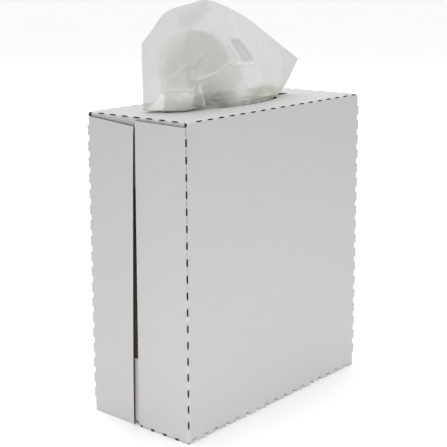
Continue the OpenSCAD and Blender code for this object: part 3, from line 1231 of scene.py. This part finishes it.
@dataclass
class WipeStack:
    """The interfolded wipes inside the carton, layer on layer, as a Geometry Nodes tree."""

    layer: float = 3.0 * MM
    fullness: float = 0.98
    stray: float = 0.5 * MM
    seed: int = 7

    def __post_init__(self) -> None:
        """Reads the stack's place from the frame."""
        self.low, self.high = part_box("wipe_stack")

    def folded_wipe(self) -> bpy.types.Object:
        """One folded wipe with round folds at front and back, for the tree to stack."""
        half_x = (self.high.x - self.low.x) / 2 - self.stray
        half_y = (self.high.y - self.low.y) / 2 - self.stray
        r = self.layer / 2 * self.fullness
        bend = [(half_y - r + r * math.cos(a), r * math.sin(a))
                for a in np.linspace(-math.pi / 2, math.pi / 2, 5)]
        ring = bend + [(-y, -z) for y, z in bend]
        middle = (self.low.y + self.high.y) / 2
        points = [(x, middle + y, z) for x in (-half_x, half_x) for y, z in ring]
        n = len(ring)
        faces = [[i, (i + 1) % n, n + (i + 1) % n, n + i] for i in range(n)]
        faces += [list(range(n))[::-1], list(range(n, 2 * n))]
        made = mesh_object("folded_wipe", np.array(points), faces)
        # The end faces are marked for the painted shade of the cut ends.
        ends = made.data.attributes.new("cut_end", "FLOAT", "FACE")
        ends.data.foreach_set("value", [0.0] * n + [1.0, 1.0])
        return made

    def build_tree(self) -> bpy.types.NodeTree:
        """Stacks a folded wipe with small seeded shifts.

        Returns:
            A tree with Wipe, Count, Layer, Lowest, Stray, Seed and Cloth in, and the stack out.
        """
        tree, canvas, start, end = geometry_group("stack_of_wipes", {
            "Wipe": "Object", "Count": "Int", "Layer": "Float", "Lowest": "Float", "Stray": "Float",
            "Seed": "Int", "Cloth": "Material"})
        line = canvas.line(start.outputs["Count"], canvas.vector(Z=start.outputs["Lowest"]),
                           canvas.vector(Z=start.outputs["Layer"]))
        stray = start.outputs["Stray"]
        back = canvas.math("MULTIPLY", stray, -1.0)
        shift = canvas.add("FunctionNodeRandomValue", {
            "Min": canvas.vector(X=back, Y=back), "Max": canvas.vector(X=stray, Y=stray),
            "Seed": start.outputs["Seed"]}, data_type="FLOAT_VECTOR")
        moved = canvas.add("GeometryNodeSetPosition", {"Geometry": line, "Offset": shift.outputs[0]})
        made = canvas.copies(moved.outputs[0], start.outputs["Wipe"], start.outputs["Cloth"])
        tree.links.new(made, end.inputs["Geometry"])
        return tree

    def build(self, cloth: bpy.types.Material) -> bpy.types.Object:
        """Stacks the wipes up to the height that the frame gives.

        Args:
            cloth: The cloth's finish.

        Returns:
            The stack as one mesh.
        """
        height = self.high.z - self.low.z
        count = round(height / self.layer)
        layer = height / count
        wipe = self.folded_wipe()
        made = run_tree(self.build_tree(), "stacked_wipes", {
            "Wipe": wipe, "Count": count, "Layer": layer, "Lowest": self.low.z + layer / 2,
            "Stray": self.stray, "Seed": self.seed, "Cloth": cloth})
        bpy.data.objects.remove(wipe)
        made.data.shade_smooth()
        made.data.set_sharp_from_angle(angle=math.radians(40))
        return made


@dataclass(frozen=True)
class Crease:
    """A line on the standing cloth that stands proud of it towards the front, as a fold does.

    It runs through points of x and height above the carton, in millimetres. A sharp crease has a
    narrow width; a soft roll has a wide one. The cloth's finish paints a highlight along a sharp crease.
    """

    line: tuple[tuple[float, float], ...]
    proud: float
    width: float
    SOFT_FROM = 3.0

    @property
    def sharp(self) -> bool:
        """Whether the cloth is folded here, and not just rolled."""
        return self.width < self.SOFT_FROM

    def distance(self, x: np.ndarray, z: np.ndarray) -> np.ndarray:
        """How far each point lies from the line.

        Args:
            x: Places along the broad face, in millimetres.
            z: Heights above the carton, in millimetres.

        Returns:
            Distances in millimetres.
        """
        nearest = np.full(x.shape, np.inf)
        for (ax, az), (bx, bz) in zip(self.line, self.line[1:]):
            along = ((x - ax) * (bx - ax) + (z - az) * (bz - az)) / ((bx - ax) ** 2 + (bz - az) ** 2)
            along = np.clip(along, 0, 1)
            nearest = np.minimum(nearest, np.hypot(x - ax - along * (bx - ax), z - az - along * (bz - az)))
        return nearest

    def push(self, x: np.ndarray, z: np.ndarray) -> np.ndarray:
        """How far each point is pushed out, in millimetres."""
        ratio = self.distance(x, z) / self.width
        return self.proud * np.exp(-ratio if self.sharp else -(ratio ** 2))


@dataclass(frozen=True)
class Patch:
    """A part of the cloth that differs from the rest, such as one that lies double, with painted shade or a
    painted highlight on it.

    Its outline is in x and height above the carton, in millimetres. It fades in from its outline over
    the width soft, up to its amount.
    """

    outline: tuple[tuple[float, float], ...]
    soft: float
    amount: float = 1.0

    def share(self, x: np.ndarray, z: np.ndarray) -> np.ndarray:
        """How much each point belongs to the patch, from 0 to its amount.

        Args:
            x: Places along the broad face, in millimetres.
            z: Heights above the carton, in millimetres.

        Returns:
            One number for each point.
        """
        edge = Crease(self.outline + self.outline[:1], 1.0, 1.0).distance(x, z)
        inside = inside_loop(np.column_stack([x, z]), np.array(self.outline))
        depth = np.where(inside, edge, -edge)
        return self.amount * ease(depth / self.soft + 0.5)


@dataclass
class RisingWipe:
    """A wipe that rises through the slot: one sheet, gathered by the slot and open at its free edge.

    Its rows run from its hidden end on the stack, up through the slot, to its free edge. Each row is a
    smooth curve through a few points, from the sheet's left side to its right side. Heights in guides
    are millimetres above the carton's top. The upper-case values are shares of the sheet's length, or
    of its width for those across it.
    """

    name: str
    guides: tuple[tuple[float, tuple], ...]
    tail_lift: float
    pleats: float
    pleat_depth: tuple[float, ...]
    creases: tuple[Crease, ...] = ()
    # Patches of painted light: darker where the cloth lies double, brownish shade where it sinks into the
    # slot, and highlights on lit facets.
    doubled: tuple[Patch, ...] = ()
    sunk: tuple[Patch, ...] = ()
    painted_highlights: tuple[Patch, ...] = ()
    width: float = 213 * MM
    length: float = 231 * MM
    columns: int = 190
    rows: int = 110
    swell: float = 0.015
    frames: int = 8
    weakest_hold: float = 0.03
    ease_passes: int = 16
    PLEAT_ROWS = (0.5, 0.57, 0.62, 0.66, 0.72, 0.86, 1.0)
    PLEAT_ROOM = ((0, 0.08, 0.25, 0.75, 0.92, 1), (0.15, 0.6, 1, 1, 0.6, 0.15))
    ROW_SPREAD = ((0, 0.28, 1), (0, 0.6, 1))
    SLOT_ROW = 0.645
    EASE_FROM, EASE_RUN, EASE_STEP = 0.05, 0.03, 0.5
    HOLD_SIDE, HOLD_SLOT, HOLD_EDGE = 0.05, 0.04, 0.03

    def tail_rows(self, room: float) -> list[tuple[float, list]]:
        """The rows that lie on the stack and rise to the slot.

        Args:
            room: The height from the stack's top to the carton's top, in millimetres.

        Returns:
            For each row, its distance up the sheet from 0 to 1, and its points from left to right.
        """
        xs = (-105, -70, -35, 0, 35, 70, 105)
        fore, back = -36.0, 43.0
        low = self.tail_lift - room

        def level(y: float, z: float) -> list:
            """A straight row across the stack."""
            return [(x, y, low + z) for x in xs]

        rise = [(x * 0.8, y, low + 3.2) for x, y in zip(xs, (-4, -9, -13, -14, -13, -9, -4))]
        return [(0.0, level(fore, 0)), (0.28, level(back - 1, 0)), (0.30, level(back, 0.5)),
                (0.32, level(back - 1, 1.0)), (0.50, level(4, 1.4)), (0.565, rise)]

    def row_places(self) -> np.ndarray:
        """How far up the sheet each row lies, from 0 to 1, closer together where the sheet shows."""
        return np.interp(np.linspace(0, 1, self.rows), *self.ROW_SPREAD)

    def surface(self) -> np.ndarray:
        """The gathered sheet before it settles.

        Returns:
            An array of rows by columns by 3, in metres.
        """
        top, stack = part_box("carton")[1].z / MM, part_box("wipe_stack")[1].z / MM
        guides = self.tail_rows(top - stack) + list(self.guides)
        along = np.array([g[0] for g in guides])
        curves = np.array([even_curve(g[1], self.columns) for g in guides])
        up = self.row_places()
        i = np.clip(np.searchsorted(along, up, side="right") - 1, 0, len(along) - 2)
        f = ((up - along[i]) / (along[i + 1] - along[i]))[:, None, None]
        sheet = self.eased(curves[i] * (1 - f) + curves[i + 1] * f, up)
        sheet = self.creased(self.pleated(sheet, up))
        return (sheet + [0, 0, top]) * MM

    def eased(self, sheet: np.ndarray, up: np.ndarray) -> np.ndarray:
        """Takes the corners out where one stretch between guides runs into the next above the slot.

        Args:
            sheet: Rows by columns by 3, in millimetres.
            up: How far up the sheet each row lies.

        Returns:
            The eased sheet.
        """
        above = ease((up - self.SLOT_ROW - self.EASE_FROM) / self.EASE_RUN)
        share = (above * self.EASE_STEP)[1:-1, None, None]
        made = sheet.copy()
        for _ in range(self.ease_passes):
            middle = (made[:-2] + made[2:]) / 2
            made[1:-1] += (middle - made[1:-1]) * share
        return made

    def pleated(self, sheet: np.ndarray, up: np.ndarray) -> np.ndarray:
        """Adds the pleats that the slot gathers, which open out towards the free edge.

        Args:
            sheet: Rows by columns by 3, in millimetres.
            up: How far up the sheet each row lies.

        Returns:
            The pleated sheet.
        """
        u = np.linspace(0, 1, self.columns)
        phase = self.pleats * (u + 0.05 * np.sin(3 * math.pi * u))
        pleat = (1 - np.cos(math.tau * phase)) / 2
        gather = np.interp(up, self.PLEAT_ROWS, self.pleat_depth)
        room = np.interp(u, *self.PLEAT_ROOM)
        made = sheet.copy()
        made[:, :, 1] += gather[:, None] * (pleat * room)[None, :]
        return made

    def creased(self, sheet: np.ndarray) -> np.ndarray:
        """Pushes the creases out of the part that stands above the carton."""
        x, z = sheet[:, :, 0], sheet[:, :, 2]
        above = ease((z - 1.0) / 3.0)
        made = sheet.copy()
        for crease in self.creases:
            made[:, :, 1] -= crease.push(x, z) * above
        return made

    def mark_creases(self, cloth: bpy.types.Object, sheet: np.ndarray) -> None:
        """Writes how sharply each point of the cloth is folded, from 0 to 1, for its finish, which paints a
        highlight there; the lit facets are written in as painted highlights too, and the patches that lie
        double or sink into the slot as painted shade.

        Args:
            cloth: The sheet's object.
            sheet: Its points in metres, above the row's base.
        """
        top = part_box("carton")[1].z
        x, z = sheet[:, 0] / MM, (sheet[:, 2] - top) / MM
        folded = np.zeros(len(sheet))
        for crease in self.creases:
            if crease.sharp:
                folded = np.maximum(folded, crease.push(x, z) / crease.proud * min(1, crease.proud / 2))
        folded = folded ** 2 * (z > 1)
        # The facets add painted highlights to the fold mark.
        for patch in self.painted_highlights:
            folded = np.maximum(folded, patch.share(x, z))
        marks = {"folded": folded}
        for name, patches in (("doubled", self.doubled), ("sunk", self.sunk)):
            marks[name] = np.max([patch.share(x, z) for patch in patches], axis=0) if patches else 0 * x
        for name, share in marks.items():
            layer = cloth.data.attributes.new(name, "FLOAT", "POINT")
            layer.data.foreach_set("value", share)

    def grid_faces(self) -> list:
        """The sheet's quads."""
        n = self.columns
        return [[r * n + c, r * n + c + 1, (r + 1) * n + c + 1, (r + 1) * n + c]
                for r in range(self.rows - 1) for c in range(n - 1)]

    def hold(self, cloth: bpy.types.Object) -> bpy.types.VertexGroup:
        """Says how firmly each point is held while the sheet settles.

        Args:
            cloth: The sheet.

        Returns:
            A vertex group: whole up to the slot and at the free edge, weak between them.
        """
        group = cloth.vertex_groups.new(name="held")
        up = self.row_places()
        across = np.linspace(0, 1, self.columns)
        side = ease(np.minimum(across, 1 - across) / self.HOLD_SIDE)
        for r, v in enumerate(up):
            free = ease((v - self.SLOT_ROW) / self.HOLD_SLOT) * ease((1 - v) / self.HOLD_EDGE)
            for c in range(self.columns):
                group.add([r * self.columns + c], 1 - (1 - self.weakest_hold) * free * side[c], "REPLACE")
        return group

    def settle(self, cloth: bpy.types.Object) -> bpy.types.Object:
        """Lets the cloth swell a little against its held parts, which crumples it as real cloth does.

        Args:
            cloth: The gathered sheet.

        Returns:
            The same sheet with the result applied.
        """
        group = self.hold(cloth)
        modifier = cloth.modifiers.new("settle", "CLOTH")
        settings = modifier.settings
        settings.quality = 5
        settings.mass = 0.02
        settings.tension_stiffness = settings.compression_stiffness = 25
        settings.shear_stiffness = 8
        settings.bending_stiffness = 0.35
        settings.air_damping = 6
        settings.pin_stiffness = 1.2
        settings.vertex_group_mass = group.name
        settings.shrink_min = settings.shrink_max = -self.swell
        settings.effector_weights.gravity = 0.3
        modifier.collision_settings.use_collision = False
        modifier.point_cache.frame_start = 1
        modifier.point_cache.frame_end = self.frames
        scene = bpy.context.scene
        scene.frame_start, scene.frame_end = 1, self.frames
        for step in range(1, self.frames + 1):
            scene.frame_set(step)
            bpy.context.view_layer.update()
        name = cloth.name
        cloth.name = name + "_gathered"
        made = evaluated_mesh(cloth, name)
        made.vertex_groups.clear()
        scene.frame_set(1)
        return made

    def build(self, cloth: bpy.types.Material) -> bpy.types.Object:
        """Makes the sheet, settles it and dresses it.

        Args:
            cloth: The cloth's finish.

        Returns:
            The wipe as an open sheet.
        """
        sheet = self.surface().reshape(-1, 3)
        made = mesh_object(self.name, sheet, self.grid_faces(), smooth=True)
        made.data.materials.append(cloth)
        self.mark_creases(made, sheet)
        return self.settle(made)


def front_wipe() -> RisingWipe:
    """The wipe that stands highest, with the folds that its near side shows."""
    slot = ((-34, 12, -1.5), (-44, 8, -1.5), (-50, 3, -1.5), (-50.5, -4, -1.5), (-46, -10.5, -1.5),
            (-43, -2, -1.5), (-38, 2, -1.5), (-30, 2, -1.5), (-22, -4, -1.5), (-14, -15, -1.5),
            (-4, -19.5, -1.5), (5, -19.5, -1.5), (13, -18, -1.5), (22, -17, -1.5), (31, -16, -1.5),
            (38, -14, -1.5), (45, -10.5, -1.5), (51, -4, -1.5))
    lip = tuple((x, y, 0.6) for x, y, _ in slot)
    spread = ((-89, 14, 1.2), (-85, 5, 1.2), (-76, -6, 1.3), (-66, -11, 1.6), (-57, -9, 2.0),
              (-50.5, -6, 2.6), (-46.6, -12.6, 2.6), (-43.5, -4, 4), (-38, 1, 4), (-28, 0, 4),
              (-20, -7, 4), (-12, -16, 4), (-3, -20, 4), (6, -20, 4), (14, -18.5, 4), (24, -17.5, 4),
              (34, -16.5, 4), (42, -14.5, 3.4), (50, -11, 3), (60, -6, 2.5), (71, 1, 2.5))
    cave = ((-89, 13.5, 16), (-84, 4, 15), (-76, -8, 13), (-67, -14, 12), (-59, -13, 12),
            (-54, -10, 13), (-51.2, -15, 14), (-47, -9, 14), (-41, -6, 14), (-32, -5, 14),
            (-22, -9, 14), (-12, -13, 14), (-2, -16, 14), (8, -16.5, 14), (18, -15, 14), (28, -13, 13),
            (38, -12, 12), (48, -10.5, 11), (58, -8, 9), (66, -4, 8), (74, -1, 8))
    waist = ((-89.3, 14, 30), (-79, 8, 28), (-67, 0, 26), (-58, -7, 24), (-53, -13.5, 24),
             (-44, -11, 26.5), (-30, -11, 30), (-14, -12, 33), (4, -11, 32), (22, -10, 30),
             (40, -9, 26), (56, -7, 21), (68, -4, 17), (78, -3, 15))
    chest = ((-89.3, 14, 42), (-76, 10, 46), (-55, 4, 52), (-30, -1, 56), (-4, -4, 55),
             (24, -6, 47), (48, -6, 37), (66, -5, 27), (81, -4, 21))
    edge = ((-89, 14, 53), (-80, 13, 61.5), (-65, 11, 75.5), (-42, 8, 81), (-18, 5, 83), (20, 1, 69),
            (53, -3, 49.5), (86, -6, 30))
    creases = (
        # The rim of the hollow, up its left side and along its top
        Crease(((-53, 24.2), (-51.5, 14.4), (-47, 2)), 1.9, 0.9),
        Crease(((-53, 24.2), (-42, 25.5), (-29.6, 28.4), (-15, 34.7)), 1.8, 1.0),
        # The ridge that runs on from there to the right
        Crease(((-14, 34.8), (-6, 33.1), (17.6, 31.9)), 1.9, 1.0),
        # The soft roll at the left of the slot, and the sharp fold above it
        Crease(((-78, 9), (-65, 9)), 1.4, 6.5),
        Crease(((-79.5, 17), (-73.5, 17.8), (-66, 17.7), (-61, 16.3)), 1.1, 0.9),
        # The turned left side
        Crease(((-81, 54), (-81.5, 20)), 1.0, 3.2),
        # The line that falls across the upper left
        Crease(((-33.7, 44.5), (-49.3, 37.9), (-60.4, 33.6), (-68, 27)), 0.9, 1.0),
        # The edge of the pale wedge
        Crease(((-5, 53), (4, 52.2), (20, 34)), 0.8, 1.4),
    )
    # More opaque where the cloth lies double, with painted shade on these parts, the roll and the hollow
    # among them.
    doubled = (
        Patch(((-7, 53), (4, 52.2), (14, 42), (19, 33), (2, 33.6), (-3, 44)), 2.4, 1.0),
        Patch(((-51, 23), (-16, 33), (-10, 16), (-14, -9), (-46, -9)), 9.0, 0.5),
        Patch(((-79.5, 16), (-60, 15.5), (-56, -9), (-80, -9)), 2.5, 0.75),
        Patch(((-24, 82), (-22, 76), (-46, 62), (-56, 64), (-52, 73)), 8.0, 0.6),
        Patch(((-78, 17), (-74, 30), (-40, 44), (-10, 45), (2, 34), (-12, 12), (-50, 12)), 12.0, 0.3),
    )
    # Brownish painted shade where the cloth sinks into the slot.
    sunk = (
        Patch(((-50, 19), (-36, 21), (-22, 17), (-17, 4), (-17, -9), (-48, -9)), 11.0, 0.2),
        Patch(((-62, 15), (-53, 17), (-47, -9), (-62, -9)), 7.0, 0.25),
        Patch(((6, 12), (22, 14), (42, 12), (47, 4), (47, -9), (4, -9)), 8.0, 0.6),
    )
    # Painted highlights: a lit facet at the left side and lighter spots low in the folds.
    painted_highlights = (
        Patch(((-90, -2), (-82, 14.5), (-81, 14), (-81.5, -2)), 1.4, 1.0),
        Patch(((-12, 12), (-2, 14), (6, -9), (-16, -9)), 9.0, 0.35),
        Patch(((-80, 12), (-62, 12), (-60, -9), (-80, -9)), 6.0, 0.16),
        Patch(((-62, 5), (-50, 6), (-46, -9), (-62, -9)), 7.0, 0.36),
        Patch(((-42, 14), (-24, 14), (-16, -9), (-46, -9)), 9.0, 0.18),
        Patch(((8, 4), (30, 6), (36, -9), (6, -9)), 8.0, 0.36),
    )
    guides = ((0.62, slot), (0.645, lip), (0.675, spread), (0.73, cave), (0.80, waist), (0.88, chest),
              (1.0, edge))
    return RisingWipe("standing_cloth", guides, tail_lift=3.2, pleats=13,
                      pleat_depth=(0, 1.2, 1.2, 0.9, 0.35, 0.12, 0.0),
                      creases=creases, doubled=doubled, sunk=sunk, painted_highlights=painted_highlights)


def next_wipe() -> RisingWipe:
    """The wipe that follows: its leading edge has come up behind the first and shows through it."""
    slot = ((-40, 14, -1.5), (-28, 12, -1.5), (-14, 10, -1.5), (0, 4, -1.5), (14, 9, -1.5),
            (28, 11, -1.5), (40, 8, -1.5))
    lip = tuple((x, y, 0.6) for x, y, _ in slot)
    low = ((-64, 16, 6), (-50, 14, 6), (-34, 11, 6), (-16, 9, 6), (0, 4, 6), (18, 8, 6), (34, 6, 6))
    middle = ((-69, 15, 30), (-57, 13, 32), (-42, 8, 34), (-26, 4, 34), (-9, 1, 32), (6, 0, 27),
              (15, 0, 22))
    edge = ((-68, 15.5, 46), (-61, 14, 53.5), (-50, 12, 59), (-35, 9.5, 61), (-17, 7, 57.8),
            (-2, 4.5, 51), (9, 2, 41))
    # Its leading edge lies double, more opaque and painted darker as shade.
    dome = (
        Patch(((-40, 15), (-45, 40), (-43, 58), (-36, 60), (-24, 59), (-12, 53.8), (-4.5, 47), (-0.5, 40),
               (0.5, 34), (-1, 31), (-25, 20), (-31, 16)), 3.5, 0.9),
        Patch(((-62, 17), (-62, 46), (-50, 55), (-30, 56), (-10, 47), (-14, 28), (-31, 16)), 15.0, 0.66),
    )
    guides = ((0.62, slot), (0.645, lip), (0.70, low), (0.84, middle), (1.0, edge))
    return RisingWipe("next_cloth", guides, tail_lift=0.6, pleats=9,
                      pleat_depth=(0, 2.0, 4.0, 4.0, 3.5, 1.6, 0.5), doubled=dome, swell=0.03)


# The studio


@dataclass(frozen=True)
class PhotoCamera:
    """The photograph's camera, worked out from the corners and the cuts of the folds.

    Its place is in millimetres, its angles are in degrees, and its centre is in pixels of the photograph.
    """

    place: tuple[float, float, float] = (-686.6, -559.2, 355.6)
    azimuth: float = -47.32
    down: float = 11.05
    roll: float = -0.75
    focal_pixels: float = 1082.6
    centre: tuple[float, float] = (165.0, 178.0)

    def build(self) -> None:
        """Makes the camera and sets it as the scene's."""
        data = bpy.data.cameras.new("photo_camera")
        data.sensor_width = SENSOR_WIDTH
        data.lens = self.focal_pixels * SENSOR_WIDTH / PHOTO_PIXELS
        half = PHOTO_PIXELS / 2
        data.shift_x = (half - self.centre[0]) / PHOTO_PIXELS
        data.shift_y = (self.centre[1] - half) / PHOTO_PIXELS
        data.clip_start, data.clip_end = 0.02, 100.0
        camera = bpy.data.objects.new("photo_camera", data)
        bpy.context.scene.collection.objects.link(camera)
        turn = (Matrix.Rotation(math.radians(self.azimuth), 4, "Z")
                @ Matrix.Rotation(math.radians(90 - self.down), 4, "X")
                @ Matrix.Rotation(math.radians(self.roll), 4, "Z"))
        camera.matrix_world = Matrix.Translation(Vector(self.place) * MM) @ turn
        bpy.context.scene.camera = camera


@dataclass(frozen=True)
class Lamp:
    """One soft area light."""

    name: str
    place: tuple[float, float, float]
    size: float
    power: float
    aim: tuple[float, float, float]
    spread: float = 180.0
    colour: tuple[float, float, float] = (1.0, 0.995, 0.985)

    def build(self) -> None:
        """Makes the light and turns it to its aim."""
        data = bpy.data.lights.new(self.name, "AREA")
        data.shape, data.size = "DISK", self.size
        data.energy, data.color = self.power, self.colour
        data.spread = math.radians(self.spread)
        lamp = bpy.data.objects.new(self.name, data)
        bpy.context.scene.collection.objects.link(lamp)
        aim = Vector(self.aim) - Vector(self.place)
        turn = aim.to_track_quat("-Z", "Y").to_matrix().to_4x4()
        lamp.matrix_world = Matrix.Translation(self.place) @ turn


@dataclass
class Studio:
    """Pale floor, soft lights and a bright surround."""

    floor_half: float = 30.0
    surround: float = 0.99

    def build(self, floor_finish: bpy.types.Material) -> None:
        """Makes the floor, the lights and the world's colour."""
        h = self.floor_half
        floor = mesh_object("floor", np.array([(-h, -h, 0), (h, -h, 0), (h, h, 0), (-h, h, 0)]),
                            [[0, 1, 2, 3]])
        floor.data.materials.append(floor_finish)
        world = bpy.data.worlds.new("surround")
        world.use_nodes = True
        back = world.node_tree.nodes["Background"]
        back.inputs["Color"].default_value = (1, 1, 1, 1)
        back.inputs["Strength"].default_value = self.surround
        bpy.context.scene.world = world
        middle = (0.0, 0.0, 0.15)
        for lamp in (
            Lamp("overhead", (0.4, 0.6, 1.95), size=1.6, power=21.0, aim=middle),
            Lamp("low_key", (-1.3, -1.2, 0.5), size=0.4, power=0.17, aim=(-0.02, -0.05, -0.02),
                 spread=14.0, colour=(1.0, 0.93, 0.92)),
        ):
            lamp.build()


def dress(piece: bpy.types.Object, node: str) -> None:
    """Puts a piece on the one body and hides the CAD node that it stands in for."""
    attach(piece, "root")
    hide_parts(node)


def main() -> None:
    """Builds the camera, the finishes, the carton, the stack, the two rising wipes and the studio."""
    logging.basicConfig(level=logging.INFO, format="%(name)s: %(message)s")
    bpy.context.scene.view_settings.view_transform = "Standard"
    PhotoCamera().build()
    fibres = make_fibre_group()
    outside = BoardFinish("white_liner", (0.458, 0.458, 0.452), 0.62, fibres, tint=0.018).make()
    inside = BoardFinish("kraft_liner", (0.128, 0.088, 0.046), 0.85, fibres, tint=0.12, fluted=True).make()
    # The cut edge is kept very dark: painted shade for the narrow gaps where the edges show.
    edge = CutEdgeFinish("cut_edge", (0.045, 0.036, 0.028), 0.9, fibres).make()
    # The stacked cloth is darker and warmer than white cloth: painted shade for the inside of the carton.
    stacked = ClothFinish("stacked_cloth", (0.62, 0.60, 0.56), 0.9, fibres).make()
    loose = ClothFinish("loose_cloth", (0.53, 0.53, 0.51), 0.85, fibres, cover=0.72).make()
    thin = ClothFinish("thin_cloth", (0.53, 0.53, 0.475), 0.85, fibres, cover=0.24).make()
    floor = FloorFinish("pale_floor", (0.97, 0.97, 0.97), 0.95).make()

    carton = Carton().build(outside, inside, edge)
    dress(carton, "carton")
    log.info("carton: %d faces", len(carton.data.polygons))
    stack = WipeStack().build(stacked)
    dress(stack, "wipe_stack")
    log.info("stack of wipes: %d faces", len(stack.data.polygons))
    for maker, cloth in ((front_wipe(), loose), (next_wipe(), thin)):
        wipe = maker.build(cloth)
        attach(wipe, "root")
        if maker.name == "standing_cloth":
            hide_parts("standing_wipe")
        log.info("%s: %d faces", maker.name, len(wipe.data.polygons))
    Studio().build(floor)


if __name__ == "__main__":
    main()
